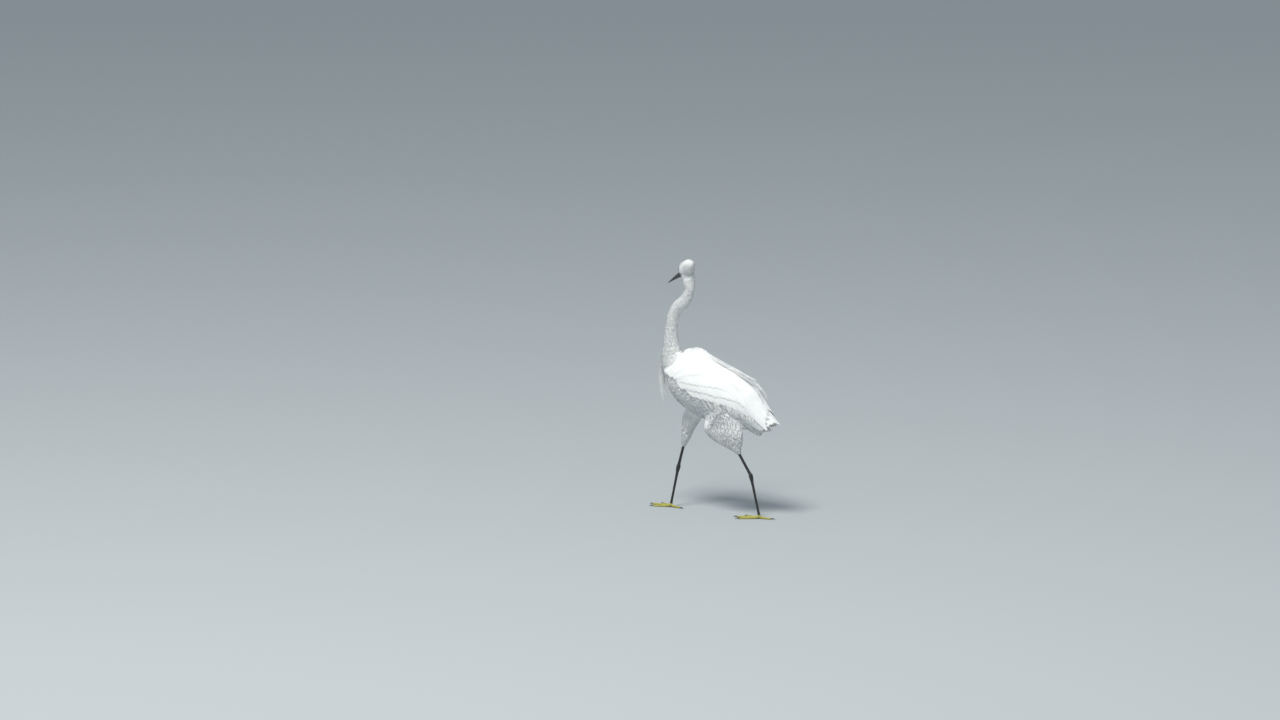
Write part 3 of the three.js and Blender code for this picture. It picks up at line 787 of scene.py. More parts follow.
# %% Finishes
WHITE_DOWN = {"Light": (0.87, 0.88, 0.87, 1), "Dark": (0.74, 0.77, 0.79, 1), "Scale": 120.0}
GREY_LORES = {"Light": (0.30, 0.345, 0.34, 1), "Dark": (0.17, 0.20, 0.205, 1), "Scale": 300.0}
GROOVE_SHADE_SHARE, GROOVE_SHADE_TONE = 0.55, 0.45  # how much painted shade darkens the grooves between scales, and to what tone


def use(graph, group, inputs):
    """Adds a shared effect to a material and sets its inputs."""
    return graph.add("ShaderNodeGroup", inputs, node_tree=group).outputs


def raised(graph, shader, height, strength, distance):
    bump = graph.add("ShaderNodeBump", {"Height": height, "Strength": strength, "Distance": distance})
    graph.join(bump.outputs[0], shader.inputs["Normal"])


def feather_finish(name, light, dark, count, relief):
    material, graph, shader = plain_material(name, light, 0.62)
    tone = use(graph, mottle, {"Light": light, "Dark": dark, "Scale": 38.0})
    graph.join(tone["Color"], shader.inputs["Base Color"])
    raised(graph, shader, use(graph, barbs, {"Count": count})["Height"], 0.5, relief)
    shader.inputs["Subsurface Weight"].default_value = 0.3
    shader.inputs["Subsurface Radius"].default_value = (3 * MM, 3 * MM, 3.4 * MM)
    shader.inputs["Sheen Weight"].default_value = 0.15
    shader.inputs["Specular IOR Level"].default_value = 0.25
    return material


def scaly_finish(name, tones, roughness, cells, strength, depth, stretch=1.0):
    """Mottled skin or horn with small scales, with painted shade darkening the grooves between them."""
    material, graph, shader = plain_material(name, tones["Light"], roughness)
    cell = use(graph, pebbles, {"Scale": cells, "Stretch": stretch})
    # Painted shade: the grooves between scales take a darker tone of the same colour.
    groove = tuple(v * GROOVE_SHADE_TONE for v in tones["Light"][:3]) + (1,)
    share = graph.value("MULTIPLY", cell["Groove shade"], GROOVE_SHADE_SHARE)
    graph.join(graph.mix(share, use(graph, mottle, tones)["Color"], groove), shader.inputs["Base Color"])
    raised(graph, shader, cell["Height"], strength, depth)
    return material


def skin_finish():
    """White down where feathers grow and grey lores where they don't."""
    material, graph, shader = plain_material("bird_skin", (0.86, 0.87, 0.86, 1), 0.75)
    mask = graph.add("ShaderNodeAttribute", attribute_name="bare").outputs["Fac"]
    down, lores = (use(graph, mottle, tones)["Color"] for tones in (WHITE_DOWN, GREY_LORES))
    graph.join(graph.mix(mask, down, lores), shader.inputs["Base Color"])
    raised(graph, shader, use(graph, pebbles, {"Scale": 1300.0})["Height"], 0.35, 0.15 * MM)
    return material


PLUMAGE = feather_finish("plumage", (0.90, 0.905, 0.89, 1), (0.80, 0.825, 0.84, 1), 18.0, 0.03 * MM)
FLIGHT = feather_finish("flight_feathers", (0.91, 0.91, 0.895, 1), (0.82, 0.84, 0.85, 1), 70.0, 0.3 * MM)
BLACK_BILL = {"Light": (0.011, 0.012, 0.014, 1), "Dark": (0.022, 0.023, 0.026, 1), "Scale": 90.0}
BLACK_LEG = {"Light": (0.013, 0.014, 0.015, 1), "Dark": (0.028, 0.029, 0.028, 1), "Scale": 120.0}
YELLOW_TOE = {"Light": (0.46, 0.42, 0.075, 1), "Dark": (0.30, 0.30, 0.06, 1), "Scale": 160.0}
DARK_CLAW = {"Light": (0.03, 0.028, 0.025, 1), "Dark": (0.07, 0.06, 0.05, 1), "Scale": 300.0}
LORE_SKIN = scaly_finish("lore_skin", GREY_LORES, 0.5, 1500.0, 0.5, 0.15 * MM)
HORN = scaly_finish("bill_horn", BLACK_BILL, 0.34, 350.0, 0.08, 0.1 * MM, 0.3)
LEG_SKIN = scaly_finish("leg_skin", BLACK_LEG, 0.46, 700.0, 0.6, 0.2 * MM, 0.6)
TOE_SKIN = scaly_finish("toe_skin", YELLOW_TOE, 0.45, 900.0, 0.6, 0.2 * MM)
CLAW_HORN = scaly_finish("claw_horn", DARK_CLAW, 0.3, 600.0, 0.1, 0.05 * MM)

skin_mesh.materials.clear()
skin_mesh.materials.append(skin_finish())
print("finishes:", len(bpy.data.materials))

# %% [markdown]
# A body feather is a small closed vane that widens from its root and frays into fingers at its tip. Two
# patterns serve the whole coat: a broad one for the back and a slim one for everything else. Their z is not
# a height yet, but how far through the coat's depth each point stands.

# %% Patterns of feathers
CROWNED = 0.03  # how much a vane's middle stands over its edges
VANE_DEEP = 0.1
FINGER_IN = 0.9  # how far aside a finger's tip stands, as a share of its root's place
FINGER_LOW = 0.1  # how much lower the outer fingers end


def feather_pattern(name, rows, tips):
    """Rows are [share of the length, half width, rise], and tips are the shares that the fingers reach."""
    strips = len(tips)
    cols = np.linspace(-1, 1, strips + 1)
    points, faces = [], []

    def add(x, y, z):
        points.append((x, y, z))
        return len(points) - 1

    top, under = [], []
    for share, half, rise in rows:
        line = [add(c * half, share, rise + CROWNED * (1 - c * c)) for c in cols]
        inner = [add(c * half, share, rise + CROWNED * (1 - c * c) - VANE_DEEP) for c in cols[1:-1]]
        top.append(line)
        under.append([line[0], *inner, line[-1]])
    for r in range(len(rows) - 1):
        for i in range(strips):
            faces.append((top[r][i], top[r][i + 1], top[r + 1][i + 1], top[r + 1][i]))
            faces.append((under[r][i], under[r + 1][i], under[r + 1][i + 1], under[r][i + 1]))
    for i in range(strips):
        faces.append(tuple(dict.fromkeys((top[0][i], under[0][i], under[0][i + 1], top[0][i + 1]))))
        middle = (cols[i] + cols[i + 1]) / 2
        apex = add(middle * rows[-1][1] * FINGER_IN, tips[i], 1 - FINGER_LOW * abs(middle))
        a, b, c, d = top[-1][i], top[-1][i + 1], under[-1][i], under[-1][i + 1]
        faces += [(a, b, apex), (d, c, apex)]
        faces += [(c, a, apex)] if a != c else []
        faces += [(b, d, apex)] if b != d else []
    mesh = bpy.data.meshes.new(name)
    mesh.from_pydata(points, [], faces)
    mesh.update()
    corner = mesh_array(mesh.loops, "vertex_index", 1, np.int32)
    flat = np.array(points)
    mesh.uv_layers.new(name="vane").data.foreach_set("uv", (flat[corner, :2] + [0.5, 0]).ravel())
    store(mesh, "rise", flat[:, 2])
    crease(mesh)
    return linked(name, mesh)


PATTERNS = {
    "broad": feather_pattern(
        "broad",
        [(0, 0.14, 0.2), (0.15, 0.34, 0.5), (0.4, 0.47, 0.7), (0.62, 0.5, 0.82), (0.78, 0.43, 0.9)],
        (0.9, 0.96, 1.0, 1.02, 0.97, 0.91)),
    "slim": feather_pattern("slim", [(0, 0.3, 0.25), (0.26, 0.5, 0.6), (0.66, 0.42, 0.86)], (1.04, 0.94)),
}
print("faces of each pattern:", {name: len(piece.data.polygons) for name, piece in PATTERNS.items()})

# %% [markdown]
# Geometry Nodes grow the coat. Points are scattered on the skin with a least distance between them, each
# gets a pattern turned to the lie of the coat, and then every point of every feather is laid back onto the
# skin at its own height. That keeps feathers flat on a curved body, one over the next, as preened ones are.

# %% Coat of feathers as a node tree
def coat_tree():
    """The node tree that grows one coat on the skin, in the way told above."""
    tree = bpy.data.node_groups.new("coat", "GeometryNodeTree")
    face = tree.interface
    face.new_socket("Geometry", in_out="INPUT", socket_type="NodeSocketGeometry")
    kinds = {"Pattern": "Object", "Mask": "String", "Seed": "Int", "Finish": "Material"}
    for label in ("Pattern", "Mask", "Spacing", "Width", "Depth", "Stretch", "Stray", "Seed", "Finish"):
        face.new_socket(label, in_out="INPUT", socket_type="NodeSocket" + kinds.get(label, "Float"))
    face.new_socket("Geometry", in_out="OUTPUT", socket_type="NodeSocketGeometry")
    g = Graph(tree)
    given = g.add("NodeGroupInput").outputs

    def named(label, kind="FLOAT"):
        node = g.add("GeometryNodeInputNamedAttribute", {"Name": label}, data_type=kind)
        return pick(node.outputs, "Attribute")

    def between(low, high, step):
        node = g.add("FunctionNodeRandomValue", {
            "Min": low, "Max": high, "Seed": g.value("ADD", given["Seed"], step),
        }, data_type="FLOAT")
        return pick(node.outputs, "Value")

    def stored(geometry, label, value, kind="FLOAT", domain="POINT"):
        inputs = {"Geometry": geometry, "Name": label, "Value": value}
        node = g.add("GeometryNodeStoreNamedAttribute", inputs, data_type=kind, domain=domain)
        return node.outputs[0]

    def without(geometry, *labels):
        for label in labels:
            inputs = {"Geometry": geometry, "Name": label}
            geometry = g.add("GeometryNodeRemoveAttribute", inputs).outputs[0]
        return geometry

    scattered = g.add("GeometryNodeDistributePointsOnFaces", {
        "Mesh": given["Geometry"], "Distance Min": given["Spacing"], "Seed": given["Seed"],
        "Density Max": g.value("DIVIDE", 1.0, g.value("MULTIPLY", given["Spacing"], given["Spacing"])),
        "Density Factor": named(given["Mask"]),
    }, distribute_method="POISSON")
    rooted = stored(scattered.outputs["Points"], "root", named("OFBake", "FLOAT_VECTOR"), "FLOAT_VECTOR")
    deep = g.value("MULTIPLY", given["Depth"], between(0.96, 1.04, 1))
    points = stored(without(rooted, "OFBake"), "depth", deep)
    turned = g.add("ShaderNodeVectorRotate", {
        "Vector": named("lie", "FLOAT_VECTOR"), "Axis": named("out", "FLOAT_VECTOR"),
        "Angle": g.value("MULTIPLY", given["Stray"], between(-1.0, 1.0, 2)),
    }, rotation_type="AXIS_ANGLE")
    facing = g.add("FunctionNodeAxesToRotation", {
        "Primary Axis": named("out", "FLOAT_VECTOR"), "Secondary Axis": turned.outputs[0],
    }, primary_axis="Z", secondary_axis="Y")
    long, wide = (
        g.value("MULTIPLY", g.value("MULTIPLY", named("length"), given[label]), between(least, 1.15, step))
        for label, least, step in (("Stretch", 0.8, 3), ("Width", 0.85, 4))
    )
    size = g.add("ShaderNodeCombineXYZ", {0: wide, 1: long, 2: deep})
    pattern = g.add("GeometryNodeObjectInfo", {"Object": given["Pattern"]})
    grown = g.add("GeometryNodeInstanceOnPoints", {
        "Points": points, "Instance": pattern.outputs["Geometry"],
        "Rotation": facing.outputs[0], "Scale": size.outputs[0],
    })
    real = g.add("GeometryNodeRealizeInstances", {"Geometry": grown.outputs[0]})
    here = g.add("GeometryNodeInputPosition").outputs[0]
    nearest = g.add("GeometryNodeProximity", {"Geometry": given["Geometry"], "Sample Position": here},
                    target_element="FACES")
    normal = g.add("GeometryNodeSampleNearestSurface", {
        "Mesh": given["Geometry"], "Value": named("out", "FLOAT_VECTOR"), "Sample Position": here,
    }, data_type="FLOAT_VECTOR")
    rise = g.scaled(pick(normal.outputs, "Value"), g.value("MULTIPLY", named("rise"), named("depth")))
    laid = g.add("GeometryNodeSetPosition", {
        "Geometry": real.outputs[0], "Position": g.vector("ADD", nearest.outputs["Position"], rise),
    })
    shrunk = g.scaled(g.vector("SUBTRACT", named("vane", "FLOAT_VECTOR"), (0.5, 0.5, 0.0)), PATCH)
    place_on_map = g.vector("ADD", named("root", "FLOAT_VECTOR"), shrunk)
    mapped = stored(laid.outputs[0], "OFBake", place_on_map, "FLOAT2", "CORNER")
    kept = without(mapped, "root", "lie", "out", "length", "depth", "rise", "bare")
    dressed = g.add("GeometryNodeSetMaterial", {"Geometry": kept, "Material": given["Finish"]})
    g.join(dressed.outputs[0], g.add("NodeGroupOutput").inputs[0])
    return tree


COAT = coat_tree()


def grow_coat(name, carrier, **inputs):
    """Runs the coat's tree on the skin and keeps the result as a plain mesh."""
    growing = carrier.modifiers.new("coat", "NODES")
    growing.node_group = COAT
    for item in COAT.interface.items_tree:
        if item.in_out == "INPUT" and item.name.lower() in inputs:
            growing[item.identifier] = inputs[item.name.lower()]
    mesh = evaluated_mesh(carrier)
    carrier.modifiers.remove(growing)
    mesh.name = name
    print(name, "has", sum(p.loop_total - 2 for p in mesh.polygons), "triangles")
    return linked(name, mesh)


# %% Body coats
on_back = on_trunk & (round_trunk < BACK_TO_BELLY)
MASKS = {
    "grow_head": on_head,
    "grow_neck": part_of == PARTS.index("neck"),
    "grow_back": on_back,
    "grow_belly": (on_trunk & ~on_back) | (part_of == PARTS.index("vent")),
    "grow_thigh_left": part_of == PARTS.index("thigh_left"),
    "grow_thigh_right": part_of == PARTS.index("thigh_right"),
}
for label, mask in MASKS.items():
    store(skin_mesh, label, (mask & ~bare & ~under_wing).astype(float))

# Each coat's mask, pattern, spacing, width as a share of the length, depth, stretch and stray.
COATS = {
    "coat_head": ("grow_head", "slim", 0.78, 0.21, 1.3, 1.35, 0.14),
    "coat_neck": ("grow_neck", "slim", 1.12, 0.16, 2.0, 1.4, 0.13),
    "coat_back": ("grow_back", "broad", 3.3, 0.36, 3.2, 1.35, 0.12),
    "coat_belly": ("grow_belly", "slim", 1.55, 0.12, 3.2, 1.4, 0.12),
    "coat_thigh_left": ("grow_thigh_left", "slim", 1.3, 0.13, 2.9, 1.45, 0.12),
    "coat_thigh_right": ("grow_thigh_right", "slim", 1.25, 0.13, 2.9, 1.45, 0.12),
}
coats = []
for seed, (name, (mask, pattern, spacing, width, depth, stretch, stray)) in enumerate(COATS.items(), 1):
    coats.append(grow_coat(
        name, skin, mask=mask, pattern=PATTERNS[pattern], spacing=spacing * MM, width=width,
        depth=depth * MM, stretch=stretch, stray=stray, seed=seed, finish=PLUMAGE))

# %% [markdown]
# Flight feathers and coverts are long and few, so each is made on its own: a thin closed vane along the
# wing's sheath, slightly domed, with a shaft, an edge that lies over its neighbour, and here and there a
# split between barbs. Tiers run from the primaries, folded deepest, out to the small coverts on top.

# %% Wing feathers
def outline(shape, t):
    """Half of a feather's width along its length, as a share of the widest."""
    opened, opening, tapers, fullness, sharpness = OUTLINES[shape]
    widened = opened + (1 - opened) * smooth_step(t, 0, opening)
    return widened * (1 - 0.97 * np.clip((t - tapers) / (1 - tapers), 0, 1) ** fullness) ** sharpness


# Width at the root, where it is full, where it tapers from, and the two powers that round the tip.
OUTLINES = {
    "flight": (0.42, 0.4, 0.72, 2.0, 0.5),
    "covert": (0.35, 0.5, 0.58, 2.3, 0.55),
    "lance": (0.3, 0.35, 0.4, 1.3, 1.0),
}
# Tiers of feathers from the deepest to the topmost: shape, count, roots of the lowest and of the highest
# feather, their tips, the height over the sheath and how far each lies over the next. A place on the sheath
# is a share of its length and the degrees down from the middle of the back.
TIERS = [
    ("flight", 16, (0.70, 100), (0.64, 5), (0.96, 116), (1.03, 5), -2.4, 2.6),
    ("flight", 15, (0.22, 84), (0.62, 58), (0.40, 106), (0.98, 80), 0.0, 1.7),
    ("flight", 13, (0.56, 64), (0.46, 5), (1.00, 82), (0.89, 5), 0.5, 2.1),
    ("covert", 15, (0.14, 76), (0.50, 44), (0.30, 101), (0.74, 72), 1.2, 1.9),
    ("lance", 15, (0.24, 56), (0.30, 5), (0.64, 66), (0.70, 5), 1.5, 2.0),
    ("covert", 15, (0.12, 72), (0.36, 42), (0.26, 93), (0.56, 66), 2.0, 2.0),
    ("lance", 15, (0.12, 56), (0.14, 5), (0.42, 62), (0.50, 5), 2.3, 2.0),
    ("covert", 15, (0.07, 78), (0.26, 34), (0.20, 91), (0.42, 56), 2.7, 2.0),
    ("covert", 15, (0.03, 84), (0.18, 28), (0.14, 93), (0.31, 46), 3.1, 2.0),
    ("lance", 14, (-0.02, 46), (0.00, 4), (0.25, 50), (0.30, 5), 3.1, 2.0),
    ("covert", 15, (-0.02, 90), (0.10, 22), (0.09, 95), (0.22, 38), 3.5, 2.0),
    ("covert", 15, (-0.06, 94), (0.03, 16), (0.04, 97), (0.14, 28), 3.8, 2.0),
]
# How many degrees the inmost feathers shift towards the other wing. The left wing closes over the right.
CLOSES_OVER = {"left": 9.0, "right": 3.0}
CLOSES_WITHIN = 40  # degrees from the middle of the back
CLOSES_HIGHER = 0.05  # millimetres higher for each of those degrees
TIER = {"measured at": 0.6, "tips stray": 0.08, "least width": 0.94, "widths stray": 0.12}
VANE = {
    "thick": 0.2, "sunk": -2.6, "rise": 9.0, "tilt": 0.5, "dome": 0.26, "shaft": 0.12, "uneven": 0.12,
    "split share": 0.1, "split depth": 0.22, "split from": 0.3, "frayed": 0.06,
}
VANE_ROWS, VANE_COLUMNS = 22, 9
SHAFT_HALF_WIDTH = 0.12  # as a share of a vane's half width
WING_SEEDS = {"left": 11, "right": 12}
# Places on a vane: along it from root to tip, and across it from edge to edge.
along_vane = np.linspace(0, 1, VANE_ROWS)[:, None]
across_vane = np.linspace(-1, 1, VANE_COLUMNS)[None]
dome = 1 - across_vane**2
shaft_ridge = np.exp(-((across_vane / SHAFT_HALF_WIDTH) ** 2))
thickness = dome * np.sin(along_vane * math.pi) ** 0.3
at_edge = np.abs(across_vane) > 0.99


def put_vane(gathering, top, bottom, root_row=1):
    """Adds a thin vane with its own map and, from one of its first rows, its place on the bake map."""
    flat = np.stack(np.broadcast_arrays(0.5 + 0.5 * across_vane, along_vane), -1)
    vane = np.vstack([flat.reshape(-1, 2), flat[1:-1, 1:-1].reshape(-1, 2)])
    gathering.put(*sheet(top, bottom), vane, patch_at(top[root_row, VANE_COLUMNS // 2]))


def lay_vane(gathering, run, side, root, tip, width, shape, lift, chance):
    """Lays one feather from root to tip over a run, with its edges frayed and here and there split."""
    radius = curve_at(run.sizes, np.array(root[0]))[0]
    reach = ((tip[0] - root[0]) * run.length, math.radians(tip[1] - root[1]) * radius)
    size = math.hypot(*reach)
    t = along_vane
    frayed = 1 - VANE["frayed"] * chance.random(t.shape)
    split = (chance.random(t.shape) < VANE["split share"]) & (t > VANE["split from"])
    frayed = np.where(split, frayed - VANE["split depth"] * chance.random(t.shape), frayed)
    across = across_vane * 0.5 * outline(shape, t) * np.where(at_edge, frayed, 1.0)
    share = root[0] + (tip[0] - root[0]) * t - across * width * reach[1] / size / run.length
    angle = np.radians(root[1] + (tip[1] - root[1]) * t) + across * width * reach[0] / size / radius
    base = VANE["sunk"] + (lift - VANE["sunk"]) * np.clip(t * size / VANE["rise"], 0, 1)
    height = base + VANE["tilt"] * (across + 0.5) + VANE["dome"] * dome + VANE["shaft"] * shaft_ridge
    height = height + VANE["uneven"] * chance.standard_normal() * t
    top = run.at(share, side * angle, height)
    bottom = run.at(share, side * angle, height - VANE["thick"] * thickness)
    if side < 0:
        top, bottom = top[:, ::-1], bottom[:, ::-1]
    put_vane(gathering, top, bottom)


def lay_tier(gathering, run, side, closes_over, tier, chance):
    """Lays a row of feathers, each wide enough to lie over the next as far as the tier says."""
    shape, count, *places, lift, overlap = tier
    low_root, high_root, low_tip, high_tip = (np.array(place, float) for place in places)
    radius = curve_at(run.sizes, np.array((low_root + high_root)[0] / 2))[0]
    in_mm = np.array([run.length, math.radians(1) * radius])
    line = (low_tip + high_tip - low_root - high_root) / 2 * in_mm
    row = lerp(high_root - low_root, high_tip - low_tip, TIER["measured at"]) * in_mm
    pitch = abs(line[0] * row[1] - line[1] * row[0]) / math.hypot(*line) / (count - 1)
    for k in np.linspace(0, 1, count):
        root = low_root + (high_root - low_root) * k
        tip = low_tip + (high_tip - low_tip) * k
        tip = tip + (tip - root) * TIER["tips stray"] * (chance.random() - 0.5)
        for end in (root, tip):
            end[1] -= closes_over * max(0, 1 - end[1] / CLOSES_WITHIN)
        width = pitch * overlap * (TIER["least width"] + TIER["widths stray"] * chance.random())
        height = lift + CLOSES_HIGHER * closes_over
        lay_vane(gathering, run, side, root, tip, width, shape, height, chance)


wings = {}
for name, side in SIDES.items():
    chance = np.random.default_rng(WING_SEEDS[name])
    gathering = Gathering()
    for tier in TIERS:
        lay_tier(gathering, RUNS["sheath"], side, CLOSES_OVER[name], tier, chance)
    wings[name] = gathering.build("wing_feathers_" + name, FLIGHT)

# %% [markdown]
# The tail is short and square: twelve feathers stacked like a fan that is nearly shut, the middle pair on
# top.

# %% Tail
TAIL = {
    "root": (78, 258), "dip": 40.5, "length": 88, "count": 6, "half width": 4.6, "thick": 0.35,
    "dome": 0.5, "shaft": 0.3, "frayed": 0.08, "root row": 3, "seed": 21,
}
# How each feather differs from the one above it, and how far apart the two sides lie.
TAIL_STEP = {"shorter": 1.3, "lower": 0.8, "side lower": 0.4}
TAIL_SPREAD = {"middle": 1.8, "middle opens": 1.2, "root": 2, "opens": 11}


def tail_feathers():
    dip = math.radians(TAIL["dip"])
    backwards = np.array([0, math.cos(dip), -math.sin(dip)])
    above = np.array([0, math.sin(dip), math.cos(dip)])
    chance = np.random.default_rng(TAIL["seed"])
    gathering = Gathering()
    t = along_vane
    for side in (-1, 1):
        for rank in range(TAIL["count"]):
            length = TAIL["length"] - rank * TAIL_STEP["shorter"]
            frayed = np.where(at_edge, 1 - TAIL["frayed"] * chance.random(t.shape), 1.0)
            fan = rank / (TAIL["count"] - 1) * (TAIL_SPREAD["root"] + TAIL_SPREAD["opens"] * t)
            x = side * (TAIL_SPREAD["middle"] + TAIL_SPREAD["middle opens"] * t + fan)
            x = x + across_vane * TAIL["half width"] * outline("flight", t) * frayed
            level = TAIL["dome"] * dome + TAIL["shaft"] * shaft_ridge
            level = level - rank * TAIL_STEP["lower"] - TAIL_STEP["side lower"] * (side > 0)
            grids = [
                np.array([0, *TAIL["root"]])
                + backwards * (length * t * np.ones_like(across_vane))[..., None]
                + above * ((level - drop * thickness) * np.ones_like(t))[..., None]
                + np.array([1.0, 0, 0]) * x[..., None]
                for drop in (0.0, TAIL["thick"])
            ]
            put_vane(gathering, *grids, root_row=TAIL["root row"])
    return gathering.build("tail_feathers", FLIGHT)


tail = tail_feathers()

# %% [markdown]
# Plumes are feathers whose barbs don't hold together. Each is a thin shaft with loose barbs that sweep to
# its tip. Long ones lie over the back, some hang from the breast, and short ones fringe the wing's lower
# edge.

# %% Plumes
SHAFT = {"radius": 0.4, "taper": 0.85, "sides": 4, "steps": 12}
# Barbs grow from the first share of the shaft's length over the next, and turn off it by narrow to wide
# degrees, less towards the tip. Their length varies from least to most of the plume's own.
BARB = {
    "radius": 0.22, "first": 0.05, "over": 0.93, "narrow": 7, "wide": 24, "narrows": 0.4,
    "least": 0.6, "most": 1.1, "at root": 1.1, "shortens": 0.45, "droop": 0.05, "off plane": 0.5,
}
BARB_ON_MAP = {"reach": 0.2, "shaft": 0.04, "thick": 0.01}
PLUME_SEED = 31
# How many there are, the length and pairs of their barbs, and ranges that each plume is drawn from, in
# millimetres, degrees or shares of the sheath.
BREAST = {
    "count": 30, "barbs": (11, 34), "x": (-10, 11), "top": (320, 362), "length": (44, 74),
    "bow": (8, 17), "sway": (-2, 2),
}
BREAST_FRONT = {"z": [300, 335, 361], "y": [-117, -126, -128], "falls back": 0.35}
BACK = {
    "count": 11, "barbs": (19, 90), "fan": 36, "aside": (-1.5, 1.5), "start": (0.2, 0.34), "end": (0.62, 0.8),
}
BACK_TUFT = {"least": 4, "rise": 9, "half width": 9}  # the middle plumes stand up at their tips
FRINGE = {"count": 46, "barbs": (10, 22), "share": (0.36, 0.66, 0.86), "reach": (0.06, 0.12)}
# The wing's lower edge: degrees down at a share of the sheath, and how far it rises over the next shares.
LOWER_EDGE = {"degrees": 106, "at": 0.4, "rises": 26, "over": 0.56}


def barb(start, end, out, radius, droop):
    """Points and faces of a slim three-sided barb with one bend and its flat side out."""
    line = unit(end - start)
    across = unit(np.cross(line, out))
    around = np.array([across, -across, np.cross(line, across) * 0.5])
    middle = (start + end) / 2 - [0, 0, droop * 0.3]
    points = np.vstack([start + radius * around, middle + radius * 0.8 * around, end - [0, 0, droop]])
    faces = [(0, 2, 1)]
    for k in range(3):
        j = (k + 1) % 3
        faces += [(k, j, 3 + j, 3 + k), (3 + k, 3 + j, 6)]
    return points, faces


def lay_plume(gathering, line, long, pairs, chance, out=(0, 0, 1)):
    """Lays a plume with barbs up to a given length along a line, spread square to the way it faces out."""
    line = np.asarray(line, float)
    patch = patch_at(line[0])
    share = np.linspace(0, 1, SHAFT["steps"])
    path = curve_at(line, share)
    size = steps_of(path).sum()
    flow = flow_along(path)
    across = unit(np.cross(flow, np.asarray(out, float)))
    other = np.cross(across, flow)
    turn = circle(SHAFT["sides"])
    rings = tube(path, SHAFT["radius"] * (1 - SHAFT["taper"] * share), across, other, turn)
    points, faces = loft(rings[:, ::-1])
    along = np.concatenate([np.repeat(share, SHAFT["sides"]), [0, 1]])
    beside = 0.5 + BARB_ON_MAP["shaft"] * np.cos(turn)[::-1]
    beside = np.concatenate([np.tile(beside, len(share)), [0.5, 0.5]])
    gathering.put(points, faces, np.column_stack([beside, along]), patch)
    for k in range(pairs):
        t = BARB["first"] + BARB["over"] * (k + chance.random()) / pairs
        i = int(t * (SHAFT["steps"] - 1))
        base = curve_at(line, t)
        for side in (-1, 1):
            spread = chance.uniform(BARB["narrow"], BARB["wide"])
            spread = math.radians(spread) * (1 - BARB["narrows"] * t)
            reach = long * chance.uniform(BARB["least"], BARB["most"])
            reach = min(reach * (BARB["at root"] - BARB["shortens"] * t), size / 2)
            end = base + reach * (math.cos(spread) * flow[i] + side * math.sin(spread) * across[i])
            end = end + other[i] * chance.uniform(-BARB["off plane"], BARB["off plane"])
            points, faces = barb(base, end, other[i], BARB["radius"], BARB["droop"] * reach)
            up = BARB_ON_MAP["reach"]
            at = np.repeat([[0.5, t], [0.5 + 0.25 * side, t + up / 2]], 3, axis=0)
            at = np.vstack([at, [0.5 + 0.5 * side, t + up]])
            at[:6] += BARB_ON_MAP["thick"] * np.tile([[1, 0], [-1, 1], [-1, -1]], (2, 1))
            gathering.put(points, faces, np.clip(at, 0, 1), patch)


chance = np.random.default_rng(PLUME_SEED)
gathering = Gathering()
for i in range(BREAST["count"]):
    x = chance.uniform(*BREAST["x"])
    top = chance.uniform(*BREAST["top"])
    y = np.interp(top, BREAST_FRONT["z"], BREAST_FRONT["y"]) + abs(x) * BREAST_FRONT["falls back"]
    long = chance.uniform(*BREAST["length"])
    bow = chance.uniform(*BREAST["bow"])
    line = [
        (x * 0.8, y + 2, top),
        (x, y - bow * 0.75, top - long * 0.32),
        (x * 1.05, y - bow, top - long * 0.66),
        (x * 1.1 + chance.uniform(*BREAST["sway"]), y - bow * 0.62, top - long),
    ]
    lay_plume(gathering, line, *BREAST["barbs"], chance, out=(0, -1, 0))
breast_plumes = gathering.build("breast_plumes", PLUMAGE)

gathering = Gathering()
sheath = RUNS["sheath"]
for i in range(BACK["count"]):
    angle = (i / (BACK["count"] - 1) - 0.5) * BACK["fan"] + chance.uniform(*BACK["aside"])
    start = chance.uniform(*BACK["start"])
    end = chance.uniform(*BACK["end"])
    tuft = BACK_TUFT["rise"] * math.exp(-((angle / BACK_TUFT["half width"]) ** 2))
    rise = BACK_TUFT["least"] + tuft * chance.random()
    line = [
        sheath.at(start + (end - start) * t, math.radians(angle * (0.35 + 0.65 * t)), lift)
        for t, lift in ((0, 0.5), (0.3, 4.0), (0.6, 4.6), (0.85, 4.2 + rise * 0.35), (1.0, 3.6 + rise))
    ]
    lay_plume(gathering, line, *BACK["barbs"], chance)
back_plumes = gathering.build("back_plumes", PLUMAGE)

fringes = {}
for name, side in SIDES.items():
    gathering = Gathering()
    for i in range(FRINGE["count"]):
        share = chance.triangular(*FRINGE["share"])
        edge = LOWER_EDGE["degrees"] - LOWER_EDGE["rises"] * (share - LOWER_EDGE["at"]) / LOWER_EDGE["over"]
        reach = chance.uniform(*FRINGE["reach"])
        line = [
            sheath.at(share + reach * t, side * math.radians(edge - 12 + 26 * t), lift)
            for t, lift in ((0, -1.5), (0.35, 0.2), (0.7, 1.0), (1.0, 0.6))
        ]
        lay_plume(gathering, line, *FRINGE["barbs"], chance, out=(side, 0, 0))
    fringes[name] = gathering.build("wing_fringe_" + name, PLUMAGE)

# %% [markdown]
# The bill is a long dagger in two halves. Both are lofts of half-oval sections that taper to one point. The
# upper half has a rounded ridge along its top and a groove on each side that holds the nostril's slit.

# %% Bill
NOSTRIL = {"forward": 37, "length": 9, "angle": 0.62, "half": 0.11, "deep": 1.3}
GROOVE = {"half": 0.2, "deep": 0.5, "ends": 62, "fades over": 25}
# How thick the tip is as a share of the root, the powers of the taper and of the section's roundness, how
# much the sides are drawn in, and how far the bill reaches into the head.
BILL_SHAPE = {"tip": 0.03, "taper": 0.9, "round": 0.9, "drawn in": 0.12, "into head": 4}
BILL_SECTIONS, BILL_SIDES = 110, 40


